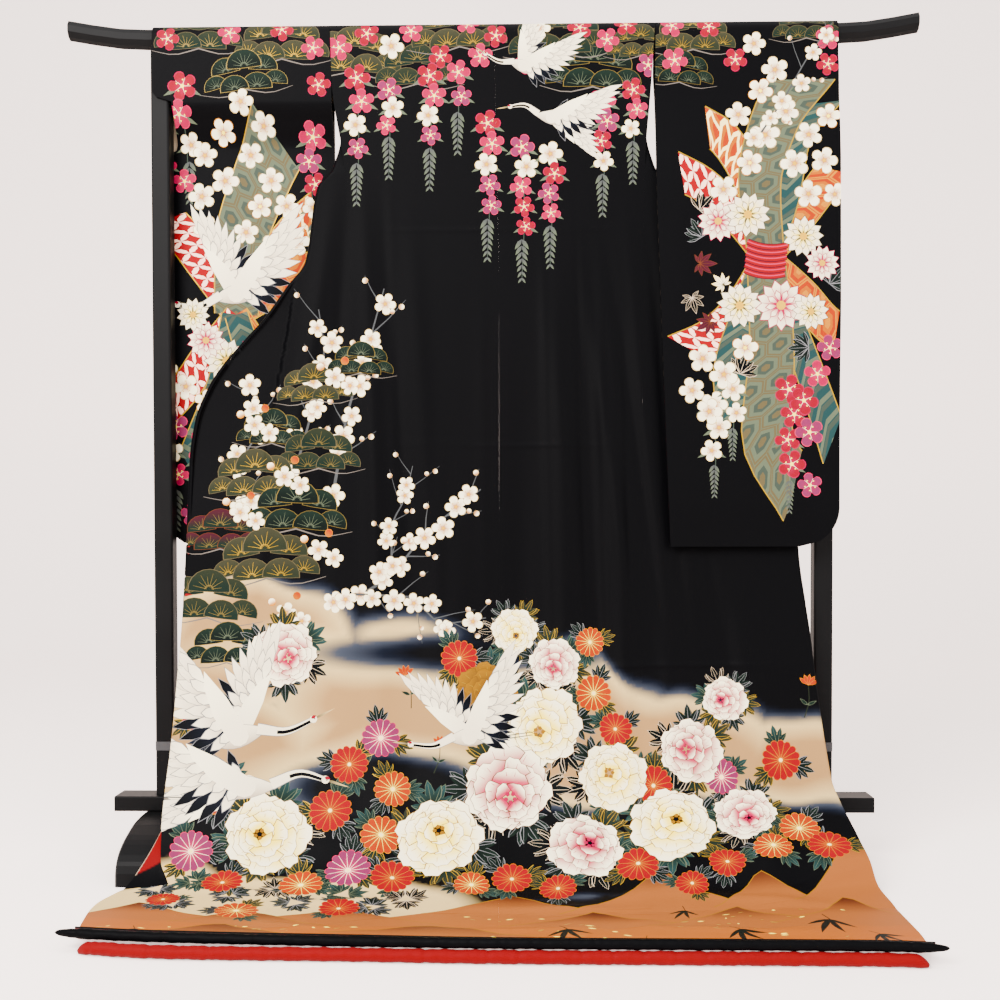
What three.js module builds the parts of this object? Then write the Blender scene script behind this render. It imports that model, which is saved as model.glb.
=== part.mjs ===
// A bridal furisode spread open on a kimono rack, back outwards, with its padded hem laid
// forward on the floor. Millimetres, +Z up, +X to the right, and -Y is the side that the back
// of the garment faces. The origin is on the floor below the middle of the whole part.
import * as THREE from 'three';

// ---------------------------------------------------------------------------------------
// Driving dimensions
// ---------------------------------------------------------------------------------------

const WALL = 2.4; // lined silk, outer cloth and lining together
const SEAM = 0.5; // gap between two cloth pieces that are sewn together
const TURNED_SEAM = 1.3; // the same where the seam itself passes round a fold
const REST_GAP = 0.3; // gap between a piece and what carries it

// Rack
const BAR_LENGTH = 1630;
const BAR_CENTRE = 1589; // height of the top bar's middle line
const BAR_TALL = 38.4;
const BAR_DEEP = 36;
const BAR_SWEEP = 24; // how far each end of the bar rises
const BAR_SWEEP_FROM = 664; // distance from the middle where the rise begins
const POST_SPACING = 1274;
const POST_SIZE = 36;
const POST_ROUND = 5;
const JOINT_SIZE = 37.6;
const JOINT_TALL = 17;
const JOINT_HEIGHT = 221;
const BEAM_LENGTH = 1464;
const BEAM_TOP = 125;
const BEAM_TALL = 29;
const BEAM_DEEP = 63;
const FOOT_THICK = 72;
const FOOT_BEVEL = 4;

// Cloth
const BAR_WRAP = 21.2; // radius of the cloth's middle surface where it goes over the bar
const SHOULDER_RUN = (BAR_WRAP * Math.PI) / 2; // cloth from the shoulder line to the bar's side
const CLOTH_LENGTH = 1985; // shoulder line to the padded hem
const FLOOR_FROM = 1773; // cloth length at which all of the train lies on the floor
const MIDDLE_X = 15; // the centre back seam
const LEFT_X = -600;
const RIGHT_X = 640;
const FRONT_WIDTH = 240;
const NECK_TO_ARMHOLE = 216;
const OVERLAP_WIDTH = 150;
const FRONT_FULL_WIDTH = FRONT_WIDTH + OVERLAP_WIDTH;
const FOLD_RADIUS = 8; // of the cloth's middle surface where a front doubles back
const OVERLAP_FROM = 270;
const COLLAR_WIDTH = 55;
const COLLAR_NECK_DROP = 60;
const COLLAR_END = 950;
const SEAM_TURNS = { from: 620, to: 666 }; // where the overlaps' seams pass round the folds
const SLEEVE_LENGTH = 1015;
const SLEEVE_CORNER = 75;
const SLEEVE_FULLNESS = 3.2; // extra room between a sleeve's two halves, away from its seams
const BLACK_ROLL_RADIUS = 8;
const RED_ROLL_RADIUS = 10.6;
const BLACK_ROLL_LIFT = 17; // least height of its middle above the red roll's
const ROLL_SIDES = 10;
const ROLL_STEP = 48;

// ---------------------------------------------------------------------------------------
// Shape tables. down is the cloth length from the shoulder line, height is above the floor,
// reach is how far something stands in front of the rack's middle plane.
// ---------------------------------------------------------------------------------------

const HANG_MIDDLE = [
  { down: SHOULDER_RUN, height: BAR_CENTRE, reach: BAR_WRAP },
  { down: 150, height: 1472, reach: 21.5 },
  { down: 287, height: 1335, reach: 23 },
  { down: 520, height: 1102, reach: 28 },
  { down: 720, height: 902, reach: 34 },
  { down: 920, height: 702, reach: 44 },
  { down: 1120, height: 503, reach: 60 },
  { down: 1270, height: 354, reach: 82 },
  { down: 1390, height: 237, reach: 110 },
  { down: 1490, height: 144, reach: 147 },
  { down: 1571, height: 80, reach: 195 },
  { down: 1643, height: 34, reach: 250 },
  { down: 1707, height: 10, reach: 310 },
  { down: FLOOR_FROM, height: WALL / 2, reach: 375 },
];

const HANG_LEFT = [
  { down: SHOULDER_RUN, height: BAR_CENTRE, reach: BAR_WRAP },
  { down: 150, height: 1472, reach: 21.5 },
  { down: 287, height: 1335, reach: 23 },
  { down: 520, height: 1102, reach: 27 },
  { down: 720, height: 902, reach: 33 },
  { down: 920, height: 702, reach: 43 },
  { down: 1120, height: 503, reach: 58 },
  { down: 1270, height: 354, reach: 84 },
  { down: 1390, height: 237, reach: 116 },
  { down: 1490, height: 150, reach: 158 },
  { down: 1571, height: 80, reach: 198 },
  { down: 1643, height: 24, reach: 226 },
  { down: 1707, height: 6, reach: 268 },
  { down: FLOOR_FROM, height: WALL / 2, reach: 328 },
];

const HANG_RIGHT = [
  { down: SHOULDER_RUN, height: BAR_CENTRE, reach: BAR_WRAP },
  { down: 150, height: 1472, reach: 21.5 },
  { down: 287, height: 1335, reach: 22 },
  { down: 520, height: 1102, reach: 25 },
  { down: 720, height: 902, reach: 30 },
  { down: 920, height: 702, reach: 38 },
  { down: 1120, height: 503, reach: 56 },
  { down: 1270, height: 354, reach: 77 },
  { down: 1390, height: 237, reach: 95 },
  { down: 1490, height: 140, reach: 114 },
  { down: 1571, height: 92, reach: 168 },
  { down: 1643, height: 62, reach: 218 },
  { down: 1707, height: 18, reach: 260 },
  { down: FLOOR_FROM, height: WALL / 2, reach: 328 },
];

// Where the panels meet and end, as distances from the rack's middle.
const SEAMS = [
  { down: 0, leftSide: -308, centre: 6, rightSide: 314 },
  { down: 130, leftSide: -304, centre: 8, rightSide: 306 },
  { down: 287, leftSide: -281, centre: 11, rightSide: 294 },
  { down: 520, leftSide: -268, centre: MIDDLE_X, rightSide: 290 },
  { down: 720, leftSide: -260, centre: MIDDLE_X, rightSide: 288 },
  { down: 1120, leftSide: -252, centre: MIDDLE_X, rightSide: 285 },
  { down: 1420, leftSide: -247, centre: MIDDLE_X, rightSide: 281 },
  { down: 1571, leftSide: -262, centre: MIDDLE_X + 1, rightSide: 300 },
  { down: 1707, leftSide: -284, centre: MIDDLE_X + 3, rightSide: 318 },
  { down: 1868, leftSide: -272, centre: MIDDLE_X + 7, rightSide: 312 },
  { down: CLOTH_LENGTH, leftSide: -256, centre: MIDDLE_X + 11, rightSide: 303 },
];

// The outermost line of each front: a fold while the cloth doubles back, then its own edge.
const OUTLINE = [
  { down: 0, left: -317, right: 323 },
  { down: 230, left: -300, right: 307 },
  { down: 287, left: -304, right: 312 },
  { down: 325, left: -333, right: 342 },
  { down: 468, left: -357, right: 372 },
  { down: 513, left: -391, right: 421 },
  { down: 575, left: -436, right: 466 },
  { down: 619, left: -476, right: 506 },
  { down: 670, left: -520, right: 548 },
  { down: 710, left: -545, right: 564 },
  { down: 768, left: -568, right: 574 },
  { down: 843, left: -579, right: 578 },
  { down: 1023, left: -585, right: 583 },
  { down: 1180, left: -591, right: 602 },
  { down: 1290, left: -595, right: 612 },
  { down: 1450, left: -598, right: 632 },
  { down: 1500, left: -597, right: 646 },
  { down: 1571, left: -592, right: 660 },
  { down: 1610, left: -588, right: 664 },
  { down: 1643, left: -576, right: 668 },
  { down: 1672, left: -568, right: 672 },
  { down: 1692, left: -640, right: 674 },
  { down: 1707, left: -650, right: 676 },
  { down: FLOOR_FROM, left: -668, right: 685 },
  { down: 1868, left: -656, right: 684 },
  { down: CLOTH_LENGTH, left: -623, right: 662 },
];

// How much of a front is still doubled back, and how far its edge curls.
const DOUBLING = [
  { down: 0, doubled: 1, curl: 1 },
  { down: 1000, doubled: 1, curl: 1 },
  { down: 1130, doubled: 0, curl: 1 },
  { down: 1450, doubled: 0, curl: 0.5 },
  { down: 1560, doubled: 0, curl: 0 },
  { down: CLOTH_LENGTH, doubled: 0, curl: 0 },
];

// The pleat on the left front: a line that the cloth beyond it lies behind.
const PLEAT = [
  { down: 500, line: -372, step: 0 },
  { down: 560, line: -380, step: 6 },
  { down: 611, line: -388, step: 7 },
  { down: 736, line: -412, step: 7 },
  { down: 818, line: -426, step: 6 },
  { down: 960, line: -434, step: 0 },
];
const PLEAT_SOFTNESS = 9;

const OVERLAP = [
  { down: OVERLAP_FROM, width: 12 },
  { down: 500, width: 55 },
  { down: 700, width: 95 },
  { down: COLLAR_END, width: OVERLAP_WIDTH },
  { down: CLOTH_LENGTH, width: OVERLAP_WIDTH },
];

// The left overlap's edge, turned under where it meets the floor: how far down and inside the
// edge it is tucked, where its free side lies and how far its middle bulges forward.
const TURNED_EDGE = [
  { down: 1560, inside: 7, freeX: -598, freeReach: 174, freeHeight: 92, bulge: 0 },
  { down: 1592, inside: 8, freeX: -612, freeReach: 196, freeHeight: 60, bulge: 0 },
  { down: 1618, inside: 10, freeX: -626, freeReach: 214, freeHeight: 34, bulge: 1 },
  { down: 1640, inside: 12, freeX: -638, freeReach: 228, freeHeight: 14, bulge: 5 },
  { down: 1660, inside: 14, freeX: -648, freeReach: 239, freeHeight: 2, bulge: 7 },
];
const TURNED_GAP = 0.6;
const TURNED_FREE_SHARE = 0.72; // how much of the turned edge's width can bulge

// Soft upright folds of the skirt. from and to are where a fold's crest is at the waist and
// at the floor, wide is its half width, proud is how far it stands out, starts is where down
// the cloth it begins.
const DRAPE_FOLDS = [
  { from: -470, to: -450, wide: 38, proud: 5, starts: 760 },
  { from: -330, to: -340, wide: 30, proud: -4, starts: 700 },
  { from: -228, to: -205, wide: 22, proud: 5, starts: 500 },
  { from: -140, to: -150, wide: 34, proud: -4, starts: 620 },
  { from: -55, to: -70, wide: 36, proud: 4, starts: 760 },
  { from: 62, to: 50, wide: 30, proud: -4, starts: 520 },
  { from: 128, to: 150, wide: 24, proud: 7, starts: 330 },
  { from: 182, to: 212, wide: 20, proud: -6, starts: 330 },
  { from: 232, to: 262, wide: 20, proud: 7, starts: 420 },
  { from: 325, to: 345, wide: 26, proud: 5, starts: 900 },
  { from: 400, to: 430, wide: 28, proud: -5, starts: 860 },
  { from: 470, to: 500, wide: 28, proud: 6, starts: 900 },
];
const DRAPE_FULL_AFTER = 620; // cloth length over which a fold grows to its full size

const HEM_LINE = [
  { across: -660, reach: 545, redAhead: 8 },
  { across: -494, reach: 566, redAhead: 15 },
  { across: -200, reach: 582, redAhead: 8 },
  { across: 26, reach: 592, redAhead: 5 },
  { across: 574, reach: 597, redAhead: 4 },
  { across: 690, reach: 607, redAhead: 3 },
];
const BLACK_ROLL = { from: -653, to: 680, tip: 52 };
const RED_ROLL = { from: -613, to: 651, tip: 26 };
const HEM_RISE = [
  { down: FLOOR_FROM, rise: 0 },
  { down: 1890, rise: 0.6 },
  { down: 1935, rise: 6 },
  { down: 1965, rise: 20 },
  { down: CLOTH_LENGTH, rise: 32.9 },
];
const HEM_TUCK = 7.9; // how far behind the black roll's middle line the cloth ends

const SLEEVE_INNER = [
  { down: 0, left: -308 - SEAM, right: 314 + SEAM },
  { down: 130, left: -305, right: 313 },
  { down: 287, left: -306, right: 314 },
  { down: 520, left: -307, right: 321 },
  { down: SLEEVE_LENGTH, left: -300, right: 338 },
];

// Both sleeves: the outer edge and the reach of the half over the front of the bar (near) and
// of the half behind it (far). An edge steps in beside the post where its cloth passes from
// one side of the post to the other.
const SLEEVE_LEFT = [
  { down: 0, nearEdge: -650, nearReach: BAR_WRAP, farEdge: -650, farReach: -BAR_WRAP },
  { down: SHOULDER_RUN, nearEdge: -650, nearReach: BAR_WRAP, farEdge: -650, farReach: -BAR_WRAP },
  { down: 146, nearEdge: -650, nearReach: 21.2, farEdge: -650, farReach: -21.4 },
  { down: 160, nearEdge: -613, nearReach: 21, farEdge: -649, farReach: -21.6 },
  { down: 198, nearEdge: -612, nearReach: 0, farEdge: -648, farReach: -23 },
  { down: 238, nearEdge: -613, nearReach: -20.8, farEdge: -647, farReach: -26.6 },
  { down: 254, nearEdge: -646, nearReach: -21.2, farEdge: -646, farReach: -27 },
  { down: 600, nearEdge: -647, nearReach: -21.2, farEdge: -647, farReach: -27 },
  { down: SLEEVE_LENGTH, nearEdge: -646, nearReach: -21.2, farEdge: -646, farReach: -27 },
];

const SLEEVE_RIGHT = [
  { down: 0, nearEdge: 660, nearReach: BAR_WRAP, farEdge: 660, farReach: -BAR_WRAP },
  { down: SHOULDER_RUN, nearEdge: 660, nearReach: BAR_WRAP, farEdge: 660, farReach: -BAR_WRAP },
  { down: 84, nearEdge: 660, nearReach: 21.5, farEdge: 660, farReach: -21.2 },
  { down: 98, nearEdge: 661, nearReach: 22, farEdge: 612, farReach: -21 },
  { down: 155, nearEdge: 661, nearReach: 24, farEdge: 611, farReach: 4 },
  { down: 220, nearEdge: 662, nearReach: 30, farEdge: 612, farReach: 22 },
  { down: 236, nearEdge: 662, nearReach: 32, farEdge: 662, farReach: 25 },
  { down: 290, nearEdge: 662, nearReach: 37.5, farEdge: 662, farReach: 31.5 },
  { down: 510, nearEdge: 662, nearReach: 43, farEdge: 662, farReach: 37 },
  { down: 710, nearEdge: 659, nearReach: 50, farEdge: 659, farReach: 44 },
  { down: 910, nearEdge: 656, nearReach: 61, farEdge: 656, farReach: 55 },
  { down: SLEEVE_LENGTH, nearEdge: 655, nearReach: 68, farEdge: 655, farReach: 62 },
];
const SLEEVE_SEWN_FROM = 240; // cloth length where the cuff opening ends

const FOOT_PROFILE = [
  { reach: 0, height: 95.7 },
  { reach: 48, height: 95.7 },
  { reach: 90, height: 93 },
  { reach: 130, height: 83 },
  { reach: 160, height: 73 },
  { reach: 186, height: 60 },
  { reach: 203, height: 44 },
  { reach: 211, height: 24 },
  { reach: 212, height: 0 },
];

// ---------------------------------------------------------------------------------------
// Materials
// ---------------------------------------------------------------------------------------

const MATERIALS = {
  silk: new THREE.MeshStandardMaterial({ color: 0x17171a, roughness: 0.55, metalness: 0 }),
  padding: new THREE.MeshStandardMaterial({ color: 0x121214, roughness: 0.5, metalness: 0 }),
  redSilk: new THREE.MeshStandardMaterial({ color: 0xd4101c, roughness: 0.5, metalness: 0 }),
  lacquer: new THREE.MeshStandardMaterial({ color: 0x1b1b1e, roughness: 0.3, metalness: 0 }),
  joint: new THREE.MeshStandardMaterial({ color: 0x6c6c70, roughness: 0.4, metalness: 0.2 }),
};

// ---------------------------------------------------------------------------------------
// Curves through the tables
// ---------------------------------------------------------------------------------------

/** A smooth curve through a table's rows that never swings past them. */
function curveThrough(table, at, column) {
  const xs = table.map((row) => row[at]);
  const ys = table.map((row) => row[column]);
  const slopes = xs.slice(1).map((x, i) => (ys[i + 1] - ys[i]) / (x - xs[i]));
  const tangents = xs.map((_, i) => {
    const before = slopes[Math.max(i - 1, 0)];
    const after = slopes[Math.min(i, slopes.length - 1)];
    return before * after <= 0 ? 0 : (2 * before * after) / (before + after);
  });
  return (x) => {
    if (x <= xs[0]) return ys[0];
    if (x >= xs.at(-1)) return ys.at(-1);
    const i = xs.findIndex((_, k) => x < xs[k + 1]);
    const span = xs[i + 1] - xs[i];
    const t = (x - xs[i]) / span;
    const rise = ys[i + 1] - ys[i];
    const bend = t * (1 - t) * span;
    return (
      ys[i] +
      rise * t * t * (3 - 2 * t) +
      bend * (tangents[i] * (1 - t) - tangents[i + 1] * t)
    );
  };
}

const mix = THREE.MathUtils.lerp;
const ease = THREE.MathUtils.smoothstep;

const hang = {
  middle: { height: curveThrough(HANG_MIDDLE, 'down', 'height'), reach: curveThrough(HANG_MIDDLE, 'down', 'reach') },
  left: { height: curveThrough(HANG_LEFT, 'down', 'height'), reach: curveThrough(HANG_LEFT, 'down', 'reach') },
  right: { height: curveThrough(HANG_RIGHT, 'down', 'height'), reach: curveThrough(HANG_RIGHT, 'down', 'reach') },
};
const centreSeam = curveThrough(SEAMS, 'down', 'centre');
const sideSeam = { '-1': curveThrough(SEAMS, 'down', 'leftSide'), 1: curveThrough(SEAMS, 'down', 'rightSide') };
const outline = { '-1': curveThrough(OUTLINE, 'down', 'left'), 1: curveThrough(OUTLINE, 'down', 'right') };
const doubled = curveThrough(DOUBLING, 'down', 'doubled');
const curl = curveThrough(DOUBLING, 'down', 'curl');
const pleatLine = curveThrough(PLEAT, 'down', 'line');
const pleatStep = curveThrough(PLEAT, 'down', 'step');
const overlapWidth = curveThrough(OVERLAP, 'down', 'width');
const hemReach = curveThrough(HEM_LINE, 'across', 'reach');
const redAhead = curveThrough(HEM_LINE, 'across', 'redAhead');
const hemRise = curveThrough(HEM_RISE, 'down', 'rise');
const sleeveInner = { '-1': curveThrough(SLEEVE_INNER, 'down', 'left'), 1: curveThrough(SLEEVE_INNER, 'down', 'right') };

// ---------------------------------------------------------------------------------------
// Surfaces: the middle of the cloth's wall
// ---------------------------------------------------------------------------------------

/** How far the upright folds push the skirt out at one place. */
function drape(x, down) {
  const along = (down - SHOULDER_RUN) / (FLOOR_FROM - SHOULDER_RUN);
  const fade = 1 - 0.75 * ease(down, 1560, 1740);
  const atHem = 1 - ease(down, 1860, 1940);
  return DRAPE_FOLDS.reduce((sum, fold) => {
    const crest = mix(fold.from, fold.to, ease(along, 0.3, 1));
    const grown = ease(down, fold.starts, fold.starts + DRAPE_FULL_AFTER);
    const offset = (x - crest) / fold.wide;
    return sum + fold.proud * grown * fade * atHem * Math.exp(-offset * offset);
  }, 0);
}

/** The outward face of the skirt, from the top of the bar down to the padded hem. */
function skirtPoint(x, down) {
  if (down < SHOULDER_RUN) {
    const turn = down / BAR_WRAP;
    return new THREE.Vector3(x, -BAR_WRAP * Math.sin(turn), BAR_CENTRE + BAR_WRAP * Math.cos(turn));
  }
  const sideways = x < MIDDLE_X ? (MIDDLE_X - x) / (MIDDLE_X - LEFT_X) : (x - MIDDLE_X) / (RIGHT_X - MIDDLE_X);
  const weight = ease(sideways, 0, 1);
  const edge = x < MIDDLE_X ? hang.left : hang.right;
  let height = mix(hang.middle.height(down), edge.height(down), weight);
  let reach = mix(hang.middle.reach(down), edge.reach(down), weight);
  if (down > FLOOR_FROM) {
    const along = (down - FLOOR_FROM) / (CLOTH_LENGTH - FLOOR_FROM);
    reach = mix(reach, hemReach(x) - HEM_TUCK, along);
    height += hemRise(down);
  }
  const lean = (ease(down, 1350, 1760) * Math.PI) / 2;
  const out = drape(x, down);
  reach += out * Math.cos(lean);
  height += out * Math.sin(lean);
  return new THREE.Vector3(x, -reach, Math.max(height, WALL / 2));
}

/** The cloth behind the bar: side is -1 for the left front and 1 for the right, and u runs
 * across the cloth from the armhole towards the neck. */
function behindBarPoint(side, u, down) {
  const turn = Math.min(down, SHOULDER_RUN) / BAR_WRAP;
  const below = Math.max(down - SHOULDER_RUN, 0);
  return new THREE.Vector3(
    sideSeam[side](down) - side * u,
    BAR_WRAP * Math.sin(turn),
    BAR_CENTRE + BAR_WRAP * Math.cos(turn) - below,
  );
}

/** Where a front leaves the plane of the skirt to double back, as a distance from its seam. */
function turnStart(side, down) {
  return Math.abs(outline[side](down) - sideSeam[side](down)) - FOLD_RADIUS * curl(down);
}

/** How much of the skirt's plane one millimetre of a front's width takes up. */
function spread(side, down) {
  const room = Math.abs(outline[side](down) - sideSeam[side](down));
  return mix(room / FRONT_FULL_WIDTH, 1, doubled(down));
}

/** A front below the armpit: out from the side seam in the skirt's plane, round a soft fold
 * at the outline, and back behind itself. */
function spreadFrontPoint(side, u, down) {
  const start = turnStart(side, down);
  const radius = Math.max(FOLD_RADIUS * curl(down), 0.01);
  const s = spread(side, down) * u;
  const angle = THREE.MathUtils.clamp((s - start) / radius, 0, Math.PI);
  const past = Math.max(s - start - Math.PI * radius, 0);
  const out = Math.min(s, start) + radius * Math.sin(angle) - past;
  const x = sideSeam[side](down) + side * (curl(down) > 0.01 ? out : s);
  const point = skirtPoint(x, down);
  point.y += curl(down) > 0.01 ? radius * (1 - Math.cos(angle)) : 0;
  if (side < 0 && angle === 0) {
    point.y += pleatStep(down) * ease(pleatLine(down) - x, 0, PLEAT_SOFTNESS);
  }
  return point;
}

/** A front from the shoulder to the hem. */
function frontPoint(side, u, down) {
  const share = ease(down, 150, 300);
  if (share === 0) return behindBarPoint(side, u, down);
  const spreadPoint = spreadFrontPoint(side, u, down);
  return share === 1 ? spreadPoint : behindBarPoint(side, u, down).lerp(spreadPoint, share);
}

/** Half of a back: u runs from 0 at the centre seam to 1 at the side seam. */
function backPoint(side, u, down) {
  const inner = centreSeam(down) + (side * SEAM) / 2;
  const outer = sideSeam[side](down) - (side * SEAM) / 2;
  return skirtPoint(mix(inner, outer, u), down);
}

/** A sleeve: u runs from its inner edge (0) to its outer one (1). along is negative down the
 * half in front of the bar and positive down the half behind it. */
function sleevePoint(side, curves, u, along) {
  const down = Math.abs(along);
  const near = along < 0;
  const edge = near ? curves.nearEdge(down) : curves.farEdge(down);
  const into = Math.max(down - (SLEEVE_LENGTH - SLEEVE_CORNER), 0);
  const rounding = SLEEVE_CORNER - Math.sqrt(Math.max(SLEEVE_CORNER ** 2 - into ** 2, 0));
  const x = mix(sleeveInner[side](down), edge - side * rounding, u);
  if (down < SHOULDER_RUN) {
    const turn = along / BAR_WRAP;
    return new THREE.Vector3(x, BAR_WRAP * Math.sin(turn), BAR_CENTRE + BAR_WRAP * Math.cos(turn));
  }
  const middle = (curves.nearReach(down) + curves.farReach(down)) / 2;
  const reach = near ? curves.nearReach(down) : curves.farReach(down);
  const sewn = ease(down, SLEEVE_SEWN_FROM, SLEEVE_SEWN_FROM + 90);
  const nearSeam = Math.max(ease(u, 0.8, 1), ease(down, SLEEVE_LENGTH - 90, SLEEVE_LENGTH));
  const gather = sewn * (nearSeam * 0.46 - (1 - nearSeam) * (SLEEVE_FULLNESS / 6));
  return new THREE.Vector3(x, -mix(reach, middle, gather), BAR_CENTRE - (down - SHOULDER_RUN));
}

// ---------------------------------------------------------------------------------------
// Solids
// ---------------------------------------------------------------------------------------

/** Distances from first to last, close to step apart, taking in every one of the marks. */
function rowsBetween(first, last, step, marks = []) {
  const stops = [first, ...marks.filter((m) => m > first && m < last), last];
  return stops.slice(1).flatMap((stop, i) => {
    const count = Math.max(1, Math.round((stop - stops[i]) / step));
    const part = Array.from({ length: count }, (_, k) => mix(stops[i], stop, (k + 1) / count));
    return i === 0 ? [first, ...part] : part;
  });
}

/** Evenly spaced columns across the cloth, drawn closer together round a fold. */
function columnsRoundFold(count, from, to, foldAt, crowd = 1.2) {
  const density = (u) => (u - from) / (to - from) + crowd / (1 + Math.exp((foldAt - u) / 7));
  const start = density(from);
  const whole = density(to) - start;
  return Array.from({ length: count + 1 }, (_, k) => {
    if (k === 0) return from;
    if (k === count) return to;
    let low = from;
    let high = to;
    for (let step = 0; step < 30; step += 1) {
      const middle = (low + high) / 2;
      if ((density(middle) - start) / whole < k / count) low = middle;
      else high = middle;
    }
    return (low + high) / 2;
  });
}

/** The direction that a surface faces at one place. */
function facing(surface, u, v, stepU, stepV) {
  const acrossWays = surface(u + stepU, v).sub(surface(u - stepU, v));
  const downWays = surface(u, v + stepV).sub(surface(u, v - stepV));
  return acrossWays.cross(downWays).normalize();
}

/** A closed wall of cloth, half its thickness to each side of a surface. columnsAt gives the
 * places across the cloth for each row. */
function clothWall(surface, rows, columnsAt, stepU) {
  const outer = [];
  const inner = [];
  const columnCount = columnsAt(rows[0]).length;
  for (const v of rows) {
    for (const u of columnsAt(v)) {
      const point = surface(u, v);
      const normal = facing(surface, u, v, stepU, 0.6);
      outer.push(point.clone().addScaledVector(normal, WALL / 2));
      inner.push(point.clone().addScaledVector(normal, -WALL / 2));
    }
  }
  const points = [...outer, ...inner].map((p) => new THREE.Vector3(p.x, p.y, Math.max(p.z, 0)));
  const under = outer.length;
  const at = (i, j) => j * columnCount + i;
  const faces = [];
  for (let j = 0; j < rows.length - 1; j += 1) {
    for (let i = 0; i < columnCount - 1; i += 1) {
      const [a, b, c, d] = [at(i, j), at(i + 1, j), at(i + 1, j + 1), at(i, j + 1)];
      faces.push(a, b, c, a, c, d);
      faces.push(under + a, under + c, under + b, under + a, under + d, under + c);
    }
  }
  const lastRow = rows.length - 1;
  const lastColumn = columnCount - 1;
  const rim = [
    ...Array.from({ length: lastColumn }, (_, i) => at(i, 0)),
    ...Array.from({ length: lastRow }, (_, j) => at(lastColumn, j)),
    ...Array.from({ length: lastColumn }, (_, i) => at(lastColumn - i, lastRow)),
    ...Array.from({ length: lastRow }, (_, j) => at(0, lastRow - j)),
  ];
  rim.forEach((p, k) => {
    const q = rim[(k + 1) % rim.length];
    faces.push(q, p, under + p, q, under + p, under + q);
  });
  return solidFrom(points, faces);
}

/** A geometry from points and triangles, turned the right way out. */
function solidFrom(points, faces) {
  const volume = faces.reduce((sum, _, k) => {
    if (k % 3 !== 0) return sum;
    const [a, b, c] = [points[faces[k]], points[faces[k + 1]], points[faces[k + 2]]];
    return sum + a.dot(new THREE.Vector3().crossVectors(b, c)) / 6;
  }, 0);
  if (volume < 0) faces.reverse();
  const geometry = new THREE.BufferGeometry();
  geometry.setAttribute('position', new THREE.Float32BufferAttribute(points.flatMap((p) => p.toArray()), 3));
  geometry.setIndex(faces);
  return geometry;
}

/** A solid through rings of points, closed by a fan at each end. */
function solidThroughRings(rings) {
  const sides = rings[0].length;
  const points = rings.flat();
  const faces = [];
  for (let r = 0; r < rings.length - 1; r += 1) {
    for (let k = 0; k < sides; k += 1) {
      const [a, b] = [r * sides + k, r * sides + ((k + 1) % sides)];
      faces.push(a, b, b + sides, a, b + sides, a + sides);
    }
  }
  const lastRing = (rings.length - 1) * sides;
  for (let k = 1; k < sides - 1; k += 1) {
    faces.push(0, k + 1, k, lastRing, lastRing + k, lastRing + k + 1);
  }
  return solidFrom(points, faces);
}

/** A padded roll along the hem, tapering to its two tips. lineAt gives its middle line. */
function hemRoll({ from, to, tip }, radius, lineAt) {
  const count = Math.round((to - from) / ROLL_STEP);
  const evenly = Array.from({ length: count + 1 }, (_, i) => mix(from, to, i / count));
  const stations = [...evenly, from + tip * 0.12, to - tip * 0.12].sort((a, b) => a - b);
  const rings = stations.map((x) => {
    const toTip = Math.min(x - from, to - x);
    const size = radius * Math.sqrt(1 - (1 - Math.min(toTip / tip, 1)) ** 2 * 0.9);
    const centre = lineAt(x, size);
    return Array.from({ length: ROLL_SIDES }, (_, k) => {
      const angle = (k / ROLL_SIDES) * Math.PI * 2;
      return new THREE.Vector3(x, centre.y + size * Math.cos(angle), centre.z + size * Math.sin(angle));
    });
  });
  return solidThroughRings(rings);
}

/** A rectangle with rounded corners, centred. */
function roundedRectangle(width, depth, radius) {
  const [w, d] = [width / 2, depth / 2];
  const shape = new THREE.Shape();
  shape.moveTo(w, -d + radius);
  shape.lineTo(w, d - radius);
  shape.absarc(w - radius, d - radius, radius, 0, Math.PI / 2, false);
  shape.lineTo(-w + radius, d);
  shape.absarc(-w + radius, d - radius, radius, Math.PI / 2, Math.PI, false);
  shape.lineTo(-w, -d + radius);
  shape.absarc(-w + radius, -d + radius, radius, Math.PI, Math.PI * 1.5, false);
  shape.lineTo(w - radius, -d);
  shape.absarc(w - radius, -d + radius, radius, Math.PI * 1.5, Math.PI * 2, false);
  return shape;
}

/** An upright or lying bar of rounded rectangular section, from z = 0 to its length. */
function roundedBar(width, depth, length, radius) {
  return new THREE.ExtrudeGeometry(roundedRectangle(width, depth, radius), {
    depth: length,
    bevelEnabled: false,
    curveSegments: 3,
  });
}

// ---------------------------------------------------------------------------------------
// Pieces
// ---------------------------------------------------------------------------------------

const part = new THREE.Group();

/** Adds one named piece. */
function addPiece(name, geometry, material, place = [0, 0, 0]) {
  const mesh = new THREE.Mesh(geometry, material);
  mesh.name = name;
  mesh.position.set(...place);
  part.add(mesh);
  return mesh;
}

const SIDES = [
  { side: -1, name: 'left' },
  { side: 1, name: 'right' },
];
const OVER_THE_BAR = [SHOULDER_RUN / 3, (SHOULDER_RUN * 2) / 3, SHOULDER_RUN];
const FLOOR_ROWS = [1470, 1571, 1610, 1643, 1672, 1692, 1707, 1935];
const BACK_ROWS = rowsBetween(SEAM / 2, CLOTH_LENGTH, 62, [...OVER_THE_BAR, 287, ...FLOOR_ROWS]);
const SEAM_TURN_ROWS = rowsBetween(SEAM_TURNS.from, SEAM_TURNS.to, 4.6);
const FRONT_ROWS = rowsBetween(SEAM / 2, CLOTH_LENGTH, 62, [
  ...OVER_THE_BAR,
  COLLAR_NECK_DROP,
  OVERLAP_FROM,
  ...SEAM_TURN_ROWS,
  COLLAR_END,
  ...FLOOR_ROWS,
]);

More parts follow.
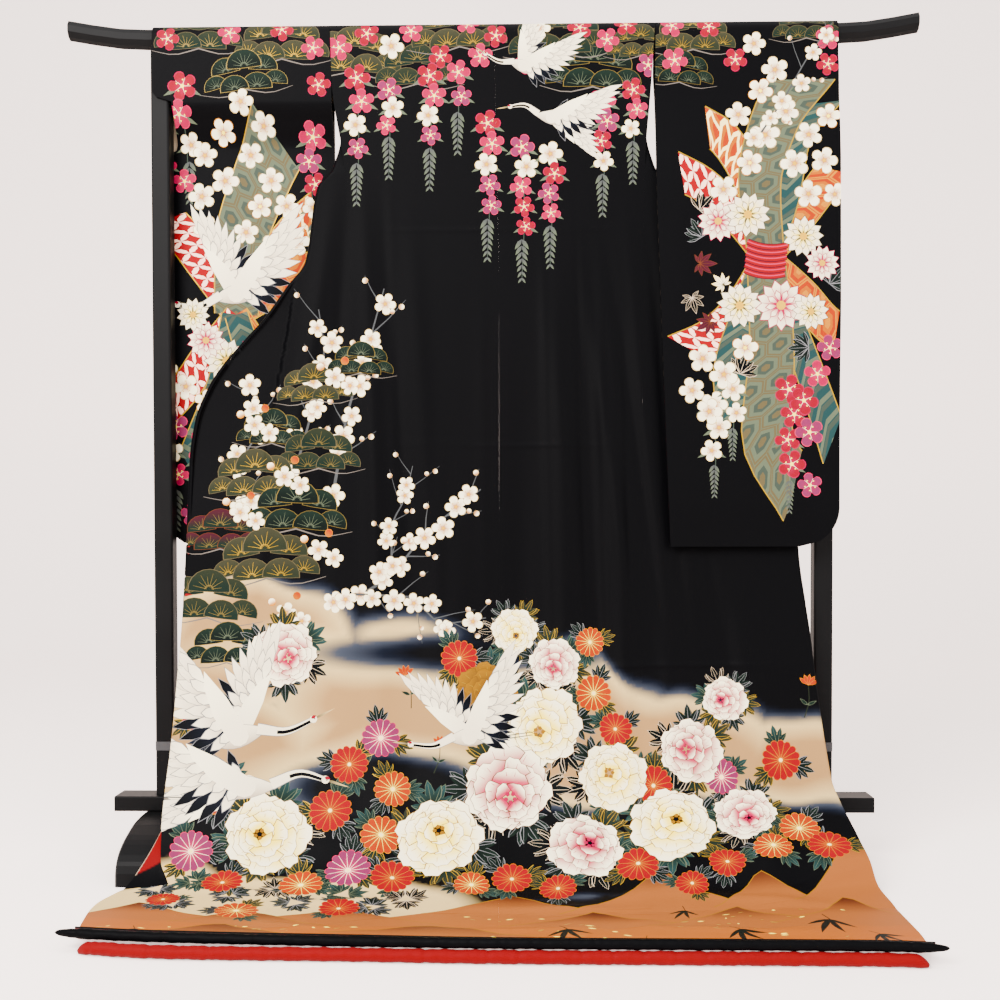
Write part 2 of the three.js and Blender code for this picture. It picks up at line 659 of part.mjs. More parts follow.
function addBacks() {
  for (const { side, name } of SIDES) {
    const surface = (u, down) => backPoint(side, u, down);
    const columns = rowsBetween(0, 1, 0.1);
    addPiece(`back_${name}`, clothWall(surface, BACK_ROWS, () => columns, 0.002), MATERIALS.silk);
  }
}

/** The width of a front's own cloth at a place down it. */
function frontWidth(down) {
  return mix(NECK_TO_ARMHOLE, FRONT_WIDTH, ease(down, 0, 300));
}

/** The place across a front, of its own cloth, where its fold is at its roundest. */
function foldPlace(side, down) {
  return (turnStart(side, down) + (FOLD_RADIUS * Math.PI) / 2) / spread(side, down);
}

function addFronts() {
  for (const { side, name } of SIDES) {
    const surface = (u, down) => frontPoint(side, u, down);
    const columns = (down) => {
      return columnsRoundFold(12, SEAM / 2, frontWidth(down) - TURNED_SEAM / 2, foldPlace(side, down));
    };
    addPiece(`front_${name}`, clothWall(surface, FRONT_ROWS, columns, 0.5), MATERIALS.silk);
  }
}

function addOverlaps() {
  const rows = FRONT_ROWS.filter((down) => down > OVERLAP_FROM - 1);
  for (const { side, name } of SIDES) {
    const surface = (u, down) => frontPoint(side, u, down);
    const columns = (down) => {
      const from = frontWidth(down) + TURNED_SEAM / 2;
      return columnsRoundFold(7, from, from + overlapWidth(down) - TURNED_SEAM, foldPlace(side, down));
    };
    addPiece(`overlap_${name}`, clothWall(surface, rows, columns, 0.5), MATERIALS.silk);
  }
}

function addTurnedEdge() {
  const behind = (down, inside) => {
    const x = outline[-1](down) + inside;
    return skirtPoint(x, down).addScaledVector(facing(skirtPoint, x, down, 1, 1), WALL + TURNED_GAP);
  };
  const column = (name) => curveThrough(TURNED_EDGE, 'down', name);
  const [inside, freeX, freeReach] = [column('inside'), column('freeX'), column('freeReach')];
  const [freeHeight, bulge] = [column('freeHeight'), column('bulge')];
  const surface = (u, down) => {
    const free = new THREE.Vector3(freeX(down), -freeReach(down), freeHeight(down));
    const point = free.lerp(behind(down, inside(down)), u);
    point.y -= bulge(down) * Math.sin(Math.PI * Math.min(u / TURNED_FREE_SHARE, 1));
    return point;
  };
  const rows = rowsBetween(TURNED_EDGE[0].down, TURNED_EDGE.at(-1).down, 12);
  const columns = rowsBetween(0, 1, 0.125);
  addPiece('turned_edge_left', clothWall(surface, rows, () => columns, 0.002), MATERIALS.silk);
}

function addCollar() {
  const neck = (share, down) => {
    const [left, right] = SIDES.map(({ side }) => behindBarPoint(side, frontWidth(down) + SEAM, down));
    return left.lerp(right, share);
  };
  const neckRows = FRONT_ROWS.filter((down) => down <= COLLAR_NECK_DROP);
  const neckColumns = rowsBetween(0, 1, 0.2);
  addPiece('collar_neck', clothWall(neck, neckRows, () => neckColumns, 0.002), MATERIALS.silk);
  const below = FRONT_ROWS.filter((down) => down > COLLAR_NECK_DROP && down <= COLLAR_END);
  const rows = [COLLAR_NECK_DROP + SEAM, ...below];
  for (const { side, name } of SIDES) {
    const surface = (u, down) => frontPoint(side, u, down);
    const columns = (down) => {
      const sewnOn = down < OVERLAP_FROM ? mix(0, overlapWidth(0), ease(down, 60, OVERLAP_FROM)) : overlapWidth(down);
      const from = frontWidth(down) + sewnOn + SEAM / 2;
      return columnsRoundFold(4, from, from + COLLAR_WIDTH, foldPlace(side, down));
    };
    addPiece(`collar_${name}`, clothWall(surface, rows, columns, 0.5), MATERIALS.silk);
  }
}

function addSleeves() {
  const marks = [...OVER_THE_BAR, 84, 98, 146, 160, 198, 220, 238, 254, 290, SLEEVE_LENGTH - SLEEVE_CORNER, SLEEVE_LENGTH - 30, SLEEVE_LENGTH - 9];
  const half = rowsBetween(0, SLEEVE_LENGTH, 88, marks);
  const rows = [...half.slice(1).reverse().map((v) => -v), ...half];
  const columns = [0, 0.2, 0.4, 0.6, 0.8, 0.9, 1];
  for (const { side, name } of SIDES) {
    const table = side < 0 ? SLEEVE_LEFT : SLEEVE_RIGHT;
    const curves = {
      nearEdge: curveThrough(table, 'down', 'nearEdge'),
      nearReach: curveThrough(table, 'down', 'nearReach'),
      farEdge: curveThrough(table, 'down', 'farEdge'),
      farReach: curveThrough(table, 'down', 'farReach'),
    };
    const surface = (u, along) => sleevePoint(side, curves, u, along);
    addPiece(`sleeve_${name}`, clothWall(surface, rows, () => columns, 0.002), MATERIALS.silk);
  }
}

function addHemRolls() {
  const toFacet = Math.cos(Math.PI / ROLL_SIDES);
  const redLine = (x, size) => ({ y: -(hemReach(x) + redAhead(x)), z: size * toFacet });
  const blackLine = (x) => {
    const ahead = redAhead(x);
    const apart = BLACK_ROLL_RADIUS + RED_ROLL_RADIUS + REST_GAP;
    const above = Math.sqrt(Math.max(apart ** 2 - ahead ** 2, 0));
    return { y: -hemReach(x), z: RED_ROLL_RADIUS * toFacet + Math.max(above, BLACK_ROLL_LIFT) };
  };
  addPiece('hem_roll_black', hemRoll(BLACK_ROLL, BLACK_ROLL_RADIUS, blackLine), MATERIALS.padding);
  addPiece('hem_roll_red', hemRoll(RED_ROLL, RED_ROLL_RADIUS, redLine), MATERIALS.redSilk);
}

function addBar() {
  const section = new THREE.Shape();
  section.absellipse(0, 0, BAR_TALL / 2, BAR_DEEP / 2, 0, Math.PI * 2, false, 0);
  const half = BAR_LENGTH / 2;
  const middles = rowsBetween(-half, half, 170, [-half + 50, -half + 100, -BAR_SWEEP_FROM, BAR_SWEEP_FROM, half - 100, half - 50]);
  const rings = middles.map((x) => {
    const lift = BAR_SWEEP * ease(Math.abs(x), BAR_SWEEP_FROM, half + 60) ** 1.2;
    return section.getPoints(5).slice(0, -1).map((p) => new THREE.Vector3(x, p.y, BAR_CENTRE + lift + p.x));
  });
  addPiece('rack_bar', solidThroughRings(rings), MATERIALS.lacquer);
}

function addPosts() {
  const jointBottom = JOINT_HEIGHT - JOINT_TALL / 2;
  const jointTop = JOINT_HEIGHT + JOINT_TALL / 2;
  const postTop = BAR_CENTRE - BAR_TALL / 2 - REST_GAP;
  const foot = BEAM_TOP + REST_GAP;
  for (const { side, name } of SIDES) {
    const x = (side * POST_SPACING) / 2;
    const lower = roundedBar(POST_SIZE, POST_SIZE, jointBottom - REST_GAP - foot, POST_ROUND);
    const joint = roundedBar(JOINT_SIZE, JOINT_SIZE, JOINT_TALL, POST_ROUND);
    const upper = roundedBar(POST_SIZE, POST_SIZE, postTop - jointTop - REST_GAP, POST_ROUND);
    addPiece(`rack_post_lower_${name}`, lower, MATERIALS.lacquer, [x, 0, foot]);
    addPiece(`rack_joint_${name}`, joint, MATERIALS.joint, [x, 0, jointBottom]);
    addPiece(`rack_post_upper_${name}`, upper, MATERIALS.lacquer, [x, 0, jointTop + REST_GAP]);
  }
}

function addBeam() {
  const beam = roundedBar(BEAM_DEEP, BEAM_TALL, BEAM_LENGTH, 3);
  beam.rotateX(Math.PI / 2);
  beam.rotateZ(Math.PI / 2);
  addPiece('rack_beam', beam, MATERIALS.lacquer, [-BEAM_LENGTH / 2, 0, BEAM_TOP - BEAM_TALL / 2]);
}

function addFeet() {
  const height = curveThrough(FOOT_PROFILE, 'reach', 'height');
  const reaches = FOOT_PROFILE.map((row) => row.reach);
  const half = reaches.flatMap((reach, i) => (i < reaches.length - 1 ? [reach, (reach + reaches[i + 1]) / 2] : [reach]));
  const top = half.map((reach) => [reach, height(reach)]);
  const outlinePoints = [...top.slice(1).map(([r, h]) => [-r, h]).reverse(), ...top];
  for (const { side, name } of SIDES) {
    const x = (side * POST_SPACING) / 2;
    const stations = [
      { at: -FOOT_THICK / 2, inset: FOOT_BEVEL },
      { at: -FOOT_THICK / 2 + FOOT_BEVEL, inset: 0 },
      { at: FOOT_THICK / 2 - FOOT_BEVEL, inset: 0 },
      { at: FOOT_THICK / 2, inset: FOOT_BEVEL },
    ];
    const tallest = FOOT_PROFILE[0].height;
    const longest = FOOT_PROFILE.at(-1).reach;
    const rings = stations.map(({ at, inset }) => {
      const [shrinkY, shrinkZ] = [1 - inset / longest, 1 - inset / tallest];
      return outlinePoints.map(([y, z]) => new THREE.Vector3(x + at, y * shrinkY, z * shrinkZ));
    });
    addPiece(`rack_foot_${name}`, solidThroughRings(rings), MATERIALS.lacquer);
  }
}

addBacks();
addFronts();
addOverlaps();
addTurnedEdge();
addCollar();
addSleeves();
addHemRolls();
addBar();
addPosts();
addBeam();
addFeet();

// The whole part is set down so that the origin is on the floor below its middle.
const bounds = new THREE.Box3().setFromObject(part, true);
const centre = bounds.getCenter(new THREE.Vector3());
part.position.set(-centre.x, -centre.y, -bounds.min.z);

export default part;
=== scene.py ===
"""A bridal furisode spread open on a kimono rack, back outwards, its padded hem on the floor.

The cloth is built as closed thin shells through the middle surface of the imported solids. The
painted pattern is worked out as flat shapes on each panel's cut, and every panel is
triangulated along those shapes, so that a colour attribute carries the whole design.
Lengths are millimetres in the rack's own frame until a mesh is made: x to the right, reach
towards the side that shows the garment's back, height above the floor.
"""

from __future__ import annotations

import logging
import math
from dataclasses import dataclass, field
from enum import Enum
from typing import Callable, Sequence

import bpy
import numpy as np
from mathutils import Matrix, Vector
from mathutils.geometry import delaunay_2d_cdt


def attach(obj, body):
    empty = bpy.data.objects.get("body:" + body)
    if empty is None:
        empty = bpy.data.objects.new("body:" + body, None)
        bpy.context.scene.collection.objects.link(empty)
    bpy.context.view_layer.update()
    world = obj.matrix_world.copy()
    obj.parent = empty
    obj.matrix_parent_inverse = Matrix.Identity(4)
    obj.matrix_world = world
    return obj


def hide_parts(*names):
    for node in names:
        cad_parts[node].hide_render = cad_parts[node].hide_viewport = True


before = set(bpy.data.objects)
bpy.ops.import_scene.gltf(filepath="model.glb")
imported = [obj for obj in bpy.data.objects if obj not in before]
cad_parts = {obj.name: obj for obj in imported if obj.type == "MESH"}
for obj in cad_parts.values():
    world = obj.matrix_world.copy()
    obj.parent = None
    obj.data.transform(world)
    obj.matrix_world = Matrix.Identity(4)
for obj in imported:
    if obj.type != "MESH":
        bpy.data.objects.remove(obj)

LOG = logging.getLogger("furisode")

MM = 0.001
RACK_Y = 0.20038217  # the rack's middle plane in the part's frame, in metres

WALL = 2.4
SEAM = 0.5
SEWN = 0.05  # what is left between two cloths that are sewn together
BAR_CENTRE = 1589.0
BAR_WRAP = 21.2
SHOULDER_RUN = BAR_WRAP * math.pi / 2
CLOTH_LENGTH = 1985.0
FLOOR_FROM = 1773.0
TURNS_TO_FLOOR = (1350, 1760)  # where the skirt's folds turn from standing out to standing up
FRONTS_PART = (150, 300)  # where a front leaves the bar's back for the skirt's plane
MIDDLE_X = 15.0
LEFT_X = -600.0
RIGHT_X = 640.0
FRONT_WIDTH = 240.0
NECK_TO_ARMHOLE = 216.0
OVERLAP_FROM = 270.0
OVERLAP_WIDTH = 150.0
FRONT_FULL_WIDTH = FRONT_WIDTH + OVERLAP_WIDTH
FOLD_RADIUS = 8.0
COLLAR_WIDTH = 55.0
COLLAR_NECK_DROP = 60.0
COLLAR_END = 950.0
SLEEVE_LENGTH = 1015.0
SLEEVE_CORNER = 75.0
SLEEVE_FULLNESS = 3.2
SLEEVE_SEWN_FROM = 240.0
PLEAT_SOFTNESS = 9.0
DRAPE_FULL_AFTER = 620.0
HEM_TUCK = 7.9
BLACK_ROLL_RADIUS = 8.0
RED_ROLL_RADIUS = 10.6
BLACK_ROLL_LIFT = 17.0
REST_GAP = 0.3
TURNED_GAP = 0.6
TURNED_FREE_SHARE = 0.72

Array = np.ndarray


# ---- Tables and curves ----


class Curve:
    """A smooth curve through a table's rows that never swings past them."""

    def __init__(self, xs: Array, ys: Array) -> None:
        """Works out the slope at each row.

        Args:
            xs: The rows' places, rising.
            ys: The rows' values.
        """
        self.xs, self.ys = xs.astype(float), ys.astype(float)
        slopes = np.diff(self.ys) / np.diff(self.xs)
        before = np.concatenate([slopes[:1], slopes])
        after = np.concatenate([slopes, slopes[-1:]])
        both = np.where(before * after > 0, before + after, 1.0)
        self.tangents = np.where(before * after > 0, 2 * before * after / both, 0.0)

    def __call__(self, x: Array | float) -> Array:
        """The curve's values.

        Args:
            x: Places, of any shape.

        Returns:
            The values there, held level past both ends.
        """
        x = np.clip(np.asarray(x, float), self.xs[0], self.xs[-1])
        i = np.clip(np.searchsorted(self.xs, x, side="right") - 1, 0, len(self.xs) - 2)
        span = self.xs[i + 1] - self.xs[i]
        t = (x - self.xs[i]) / span
        rise = self.ys[i + 1] - self.ys[i]
        bend = t * (1 - t) * span
        lean = self.tangents[i] * (1 - t) - self.tangents[i + 1] * t
        return self.ys[i] + rise * t * t * (3 - 2 * t) + bend * lean


class Table:
    """A short table with named columns."""

    def __init__(self, columns: str, *rows: Sequence[float]) -> None:
        """Stores the rows.

        Args:
            columns: The columns' names, with spaces between.
            rows: One sequence of numbers a row.
        """
        self.names = columns.split()
        self.values = np.array(rows, float)

    def column(self, name: str) -> Array:
        """One column's numbers."""
        return self.values[:, self.names.index(name)]

    def curve(self, at: str, of: str) -> Curve:
        """The smooth curve of one column over another."""
        return Curve(self.column(at), self.column(of))


HANG_PROFILES = Table(
    "down middle_height middle_reach left_height left_reach right_height right_reach",
    (SHOULDER_RUN, BAR_CENTRE, BAR_WRAP, BAR_CENTRE, BAR_WRAP, BAR_CENTRE, BAR_WRAP),
    (150, 1472, 21.5, 1472, 21.5, 1472, 21.5), (287, 1335, 23, 1335, 23, 1335, 22),
    (520, 1102, 28, 1102, 27, 1102, 25), (720, 902, 34, 902, 33, 902, 30), (920, 702, 44, 702, 43, 702, 38),
    (1120, 503, 60, 503, 58, 503, 56), (1270, 354, 82, 354, 84, 354, 77),
    (1390, 237, 110, 237, 116, 237, 95), (1490, 144, 147, 150, 158, 140, 114),
    (1571, 80, 195, 80, 198, 92, 168), (1643, 34, 250, 24, 226, 62, 218), (1707, 10, 310, 6, 268, 18, 260),
    (FLOOR_FROM, WALL / 2, 375, WALL / 2, 328, WALL / 2, 328),
)
SEAMS = Table(
    "down left_side centre right_side",
    (0, -308, 6, 314), (130, -304, 8, 306), (287, -281, 11, 294), (520, -268, MIDDLE_X, 290),
    (720, -260, MIDDLE_X, 288), (1120, -252, MIDDLE_X, 285), (1420, -247, MIDDLE_X, 281),
    (1571, -262, MIDDLE_X + 1, 300), (1707, -284, MIDDLE_X + 3, 318), (1868, -272, MIDDLE_X + 7, 312),
    (CLOTH_LENGTH, -256, MIDDLE_X + 11, 303),
)
OUTLINE = Table(
    "down left right",
    (0, -317, 323), (230, -300, 307), (287, -304, 312), (325, -333, 342), (468, -357, 372),
    (513, -391, 421), (575, -436, 466), (619, -476, 506), (670, -520, 548), (710, -545, 564),
    (768, -568, 574), (843, -579, 578), (1023, -585, 583), (1180, -591, 602), (1290, -595, 612),
    (1450, -598, 632), (1500, -597, 646), (1571, -592, 660), (1610, -588, 664), (1643, -576, 668),
    (1672, -568, 672), (1692, -640, 674), (1707, -650, 676), (FLOOR_FROM, -668, 685), (1868, -656, 684),
    (CLOTH_LENGTH, -623, 662),
)
DOUBLING = Table(
    "down doubled curl",
    (0, 1, 1), (1000, 1, 1), (1130, 0, 1), (1450, 0, 0.5), (1560, 0, 0), (CLOTH_LENGTH, 0, 0),
)
PLEAT = Table(
    "down line step",
    (500, -372, 0), (560, -380, 6), (611, -388, 7), (736, -412, 7), (818, -426, 6), (960, -434, 0),
)
OVERLAP = Table(
    "down width",
    (OVERLAP_FROM, 12), (500, 55), (700, 95), (COLLAR_END, OVERLAP_WIDTH), (CLOTH_LENGTH, OVERLAP_WIDTH),
)
DRAPE_FOLDS = Table(
    "waist floor wide proud starts",
    (-470, -450, 38, 5, 760), (-330, -340, 30, -4, 700), (-228, -205, 22, 5, 500),
    (-140, -150, 34, -4, 620), (-55, -70, 36, 4, 760), (62, 50, 30, -4, 520), (128, 150, 24, 7, 330),
    (182, 212, 20, -6, 330), (232, 262, 20, 7, 420), (325, 345, 26, 5, 900), (400, 430, 28, -5, 860),
    (470, 500, 28, 6, 900),
)
HEM_LINE = Table(
    "across reach red_ahead",
    (-660, 545, 8), (-494, 566, 15), (-200, 582, 8), (26, 592, 5), (574, 597, 4), (690, 607, 3),
)
HEM_RISE = Table("down rise", (FLOOR_FROM, 0), (1890, 0.6), (1935, 6), (1965, 20), (CLOTH_LENGTH, 32.9))
SLEEVE_INNER = Table(
    "down left right",
    (0, -308 - SEAM, 314 + SEAM), (130, -305, 313), (287, -306, 314), (520, -307, 321),
    (SLEEVE_LENGTH, -300, 338),
)
SLEEVE_LEFT = Table(
    "down near_edge near_reach far_edge far_reach",
    (0, -650, BAR_WRAP, -650, -BAR_WRAP), (SHOULDER_RUN, -650, BAR_WRAP, -650, -BAR_WRAP),
    (146, -650, 21.2, -650, -21.4), (160, -613, 21, -649, -21.6), (198, -612, 0, -648, -23),
    (238, -613, -20.8, -647, -26.6), (254, -646, -21.2, -646, -27), (600, -647, -21.2, -647, -27),
    (SLEEVE_LENGTH, -646, -21.2, -646, -27),
)
SLEEVE_RIGHT = Table(
    "down near_edge near_reach far_edge far_reach",
    (0, 660, BAR_WRAP, 660, -BAR_WRAP), (SHOULDER_RUN, 660, BAR_WRAP, 660, -BAR_WRAP),
    (84, 660, 21.5, 660, -21.2), (98, 661, 22, 612, -21), (155, 661, 24, 611, 4), (220, 662, 30, 612, 22),
    (236, 662, 32, 662, 25), (290, 662, 37.5, 662, 31.5), (510, 662, 43, 662, 37), (710, 659, 50, 659, 44),
    (910, 656, 61, 656, 55), (SLEEVE_LENGTH, 655, 68, 655, 62),
)
TURNED_EDGE = Table(
    "down inside free_x free_reach free_height bulge",
    (1560, 7, -598, 174, 92, 0), (1592, 8, -612, 196, 60, 0), (1618, 10, -626, 214, 34, 1),
    (1640, 12, -638, 228, 14, 5), (1660, 14, -648, 239, 2, 7),
)
# Soft wrinkles that the fine cloth has over the solid: upright ones along a line, and the
# level creases that a folded kimono keeps. proud is out of the cloth, in millimetres.
SOFT_WRINKLES = Table(
    "x lean wide proud top bottom",
    (-196, 14, 9, 0.9, 260, 980), (-95, -10, 12, 0.8, 700, 1500), (-20, 8, 14, 0.7, 420, 1300),
    (96, 18, 8, 1.5, 360, 1330), (160, 22, 7, -1.3, 300, 1280), (205, 20, 8, 1.6, 420, 1420),
    (252, 14, 6, -1.0, 520, 1360), (355, 20, 12, 1.3, 1040, 1560), (440, 26, 11, -1.2, 1030, 1540),
    (520, 22, 12, 1.3, 1050, 1560), (-300, -12, 11, 1.0, 640, 1380), (-365, -16, 10, -0.9, 900, 1480),
    (-505, -8, 12, 1.1, 900, 1500), (90, 130, 20, 2.4, 400, 1500), (150, 170, 16, 3.4, 330, 1500),
    (205, 165, 13, -3.2, 340, 1450), (250, 110, 14, 3.4, 300, 1500), (288, 95, 12, -3.2, 300, 1350),
    (300, 200, 16, -3.0, 420, 1550), (-160, 60, 20, 2.4, 300, 1300), (-215, 70, 14, -2.6, 260, 1200),
    (-250, 40, 16, 3.0, 240, 1150), (-270, -60, 14, -3.0, 260, 1250), (-290, -140, 18, 3.4, 240, 1250),
    (-320, -190, 14, 2.6, 520, 1350),
)
LEVEL_CREASES = Table(
    "down wide proud left right",
    (1240, 5, 0.9, -560, 600), (1252, 4, -0.7, -300, 420), (820, 4, 0.5, -240, 270),
    (410, 4, 0.45, -250, 280),
)
TRAIN_WRINKLES = Table(
    "x down along across turn proud",
    (-420, 1700, 90, 14, 0.15, 4.0), (-240, 1730, 110, 12, -0.1, 3.5), (-60, 1690, 80, 13, 0.25, 3.5),
    (120, 1750, 120, 12, 0.05, 4.0), (300, 1700, 90, 15, -0.2, 4.5), (470, 1740, 110, 13, 0.2, 4.5),
    (590, 1690, 70, 12, -0.35, 4.0), (30, 1850, 130, 11, -0.08, 2.5), (-330, 1850, 100, 10, 0.12, 2.5),
    (400, 1860, 120, 11, 0.1, 2.5),
)


def ease(x: Array | float, start: float, end: float) -> Array:
    """A smooth step from 0 at start to 1 at end."""
    t = np.clip((np.asarray(x, float) - start) / (end - start), 0, 1)
    return t * t * (3 - 2 * t)


def mix(a: Array | float, b: Array | float, t: Array | float) -> Array:
    """The straight blend from a (t = 0) to b (t = 1)."""
    return a + (b - a) * t


# ---- The hung cloth's middle surface ----


class Hang:
    """Where the middle of the cloth's wall lies, panel by panel."""

    def __init__(self) -> None:
        """Makes every curve once."""
        self.profiles = {
            name: [HANG_PROFILES.curve("down", f"{name}_{what}") for what in ("height", "reach")]
            for name in ("middle", "left", "right")
        }
        self.centre = SEAMS.curve("down", "centre")
        self.side = {-1: SEAMS.curve("down", "left_side"), 1: SEAMS.curve("down", "right_side")}
        self.edge = {-1: OUTLINE.curve("down", "left"), 1: OUTLINE.curve("down", "right")}
        self.doubled = DOUBLING.curve("down", "doubled")
        self.curl = DOUBLING.curve("down", "curl")
        self.pleat_line = PLEAT.curve("down", "line")
        self.pleat_step = PLEAT.curve("down", "step")
        self.overlap = OVERLAP.curve("down", "width")
        self.hem = HEM_LINE.curve("across", "reach")
        self.red_ahead = HEM_LINE.curve("across", "red_ahead")
        self.rise = HEM_RISE.curve("down", "rise")
        self.sleeve_inner = {-1: SLEEVE_INNER.curve("down", "left"), 1: SLEEVE_INNER.curve("down", "right")}

    def drape(self, x: Array, down: Array) -> Array:
        """How far the folds and wrinkles push the skirt out.

        Each upright fold is a bell across the cloth that grows with the way down; wrinkles
        are narrower bells that begin and end softly.

        Args:
            x: Places across.
            down: Cloth lengths from the shoulder line.

        Returns:
            Millimetres out of the cloth.
        """
        along = (down - SHOULDER_RUN) / (FLOOR_FROM - SHOULDER_RUN)
        fade = (1 - 0.75 * ease(down, 1560, 1740)) * (1 - ease(down, 1860, 1940))
        total = np.zeros(np.broadcast(x, down).shape)
        for waist, floor, wide, proud, starts in DRAPE_FOLDS.values:
            crest = mix(waist, floor, ease(along, 0.3, 1))
            grown = ease(down, starts, starts + DRAPE_FULL_AFTER)
            total += proud * grown * fade * np.exp(-(((x - crest) / wide) ** 2))
        for place, lean, wide, proud, top, bottom in SOFT_WRINKLES.values:
            share = (down - top) / (bottom - top)
            shown = ease(share, 0, 0.35) * (1 - ease(share, 0.7, 1))
            total += proud * shown * np.exp(-(((x - place - lean * share) / wide) ** 2))
        for place, wide, proud, left, right in LEVEL_CREASES.values:
            shown = ease(x, left, left + 160) * (1 - ease(x, right - 160, right))
            wave = 2.5 * np.sin(x / 70)
            total += proud * shown * np.exp(-(((down - place - wave) / wide) ** 2))
        for place, middle, along_, across, turn, proud in TRAIN_WRINKLES.values:
            dx, dd = x - place, down - middle
            run = dx * math.cos(turn) + dd * math.sin(turn)
            off = dd * math.cos(turn) - dx * math.sin(turn)
            total += proud * np.exp(-((run / along_) ** 2) - (off / across) ** 2)
        return total

    def skirt(self, x: Array, down: Array) -> Array:
        """The outward face of back and skirt.

        Round the bar it is a quarter circle; below, the height and reach come from the side
        profiles, blended across the width, and the folds are added square to the cloth.

        Args:
            x: Places across.
            down: Cloth lengths from the shoulder line.

        Returns:
            Points as (..., 3) of x, reach and height.
        """
        x, down = np.broadcast_arrays(np.asarray(x, float), np.asarray(down, float))
        turn = np.minimum(down, SHOULDER_RUN) / BAR_WRAP
        sideways = np.where(
            x < MIDDLE_X, (MIDDLE_X - x) / (MIDDLE_X - LEFT_X), (x - MIDDLE_X) / (RIGHT_X - MIDDLE_X)
        )
        weight = ease(sideways, 0, 1)
        middle, left, right = (self.profiles[n] for n in ("middle", "left", "right"))
        height, reach = (
            mix(middle[k](down), np.where(x < MIDDLE_X, left[k](down), right[k](down)), weight)
            for k in (0, 1)
        )
        along = np.clip((down - FLOOR_FROM) / (CLOTH_LENGTH - FLOOR_FROM), 0, 1)
        reach = mix(reach, self.hem(x) - HEM_TUCK, along)
        height = height + self.rise(down)
        lean = ease(down, *TURNS_TO_FLOOR) * math.pi / 2
        out = self.drape(x, down)
        reach = reach + out * np.cos(lean)
        height = np.maximum(height + out * np.sin(lean), WALL / 2)
        over = down < SHOULDER_RUN
        reach = np.where(over, BAR_WRAP * np.sin(turn), reach)
        height = np.where(over, BAR_CENTRE + BAR_WRAP * np.cos(turn), height)
        return np.stack([x, reach, height], -1)

    def behind_bar(self, side: int, u: Array, down: Array) -> Array:
        """A front over the back of the bar: a quarter circle, then straight down.

        Args:
            side: -1 for the left front, 1 for the right one.
            u: Widths from the armhole to the neck.
            down: Cloth lengths from the shoulder line.

        Returns:
            Points as (..., 3).
        """
        turn = np.minimum(down, SHOULDER_RUN) / BAR_WRAP
        below = np.maximum(down - SHOULDER_RUN, 0)
        x = self.side[side](down) - side * u
        height = BAR_CENTRE + BAR_WRAP * np.cos(turn) - below
        return np.stack([x, -BAR_WRAP * np.sin(turn), height], -1)

    def room(self, side: int, down: Array) -> Array:
        """The width from a side seam to the garment's outline."""
        return np.abs(self.edge[side](down) - self.side[side](down))

    def spread(self, side: int, down: Array) -> Array:
        """How much of the skirt's plane a millimetre of a front's width takes up."""
        return mix(self.room(side, down) / FRONT_FULL_WIDTH, 1, self.doubled(down))

    def fold_start(self, side: int, down: Array) -> Array:
        """Where a front leaves the skirt's plane to double back."""
        return self.room(side, down) - FOLD_RADIUS * self.curl(down)

    def front(self, side: int, u: Array, down: Array) -> Array:
        """A front from shoulder to hem.

        Below the armpit it runs outwards in the skirt's plane, turns round a half circle at
        the outline and comes back behind itself; above, it lies behind the bar.

        Args:
            side: -1 for the left front, 1 for the right one.
            u: Widths from the side seam or armhole.
            down: Cloth lengths from the shoulder line.

        Returns:
            Points as (..., 3).
        """
        u, down = np.broadcast_arrays(np.asarray(u, float), np.asarray(down, float))
        start = self.fold_start(side, down)
        curled = self.curl(down) > 0.01
        radius = np.maximum(FOLD_RADIUS * self.curl(down), 0.01)
        s = self.spread(side, down) * u
        angle = np.clip((s - start) / radius, 0, math.pi)
        past = np.maximum(s - start - math.pi * radius, 0)
        out = np.where(curled, np.minimum(s, start) + radius * np.sin(angle) - past, s)
        x = self.side[side](down) + side * out
        point = self.skirt(x, down)
        back = np.where(curled, radius * (1 - np.cos(angle)), 0)
        if side < 0:
            step = self.pleat_step(down) * ease(self.pleat_line(down) - x, 0, PLEAT_SOFTNESS)
            back = back + np.where(angle == 0, step, 0)
        point[..., 1] -= back
        share = ease(down, *FRONTS_PART)[..., None]
        return mix(self.behind_bar(side, u, down), point, share)

    def front_width(self, down: Array) -> Array:
        """The width of a front's own cloth."""
        return mix(NECK_TO_ARMHOLE, FRONT_WIDTH, ease(down, 0, 300))

    def collar_from(self, down: Array) -> Array:
        """Where across a front the collar is sewn on."""
        ramp = mix(0, self.overlap(0), ease(down, 60, OVERLAP_FROM))
        sewn = np.where(np.asarray(down) < OVERLAP_FROM, ramp, self.overlap(down))
        return self.front_width(down) + sewn


HANG = Hang()


# ---- Inks, washes and the canvas they are laid on ----


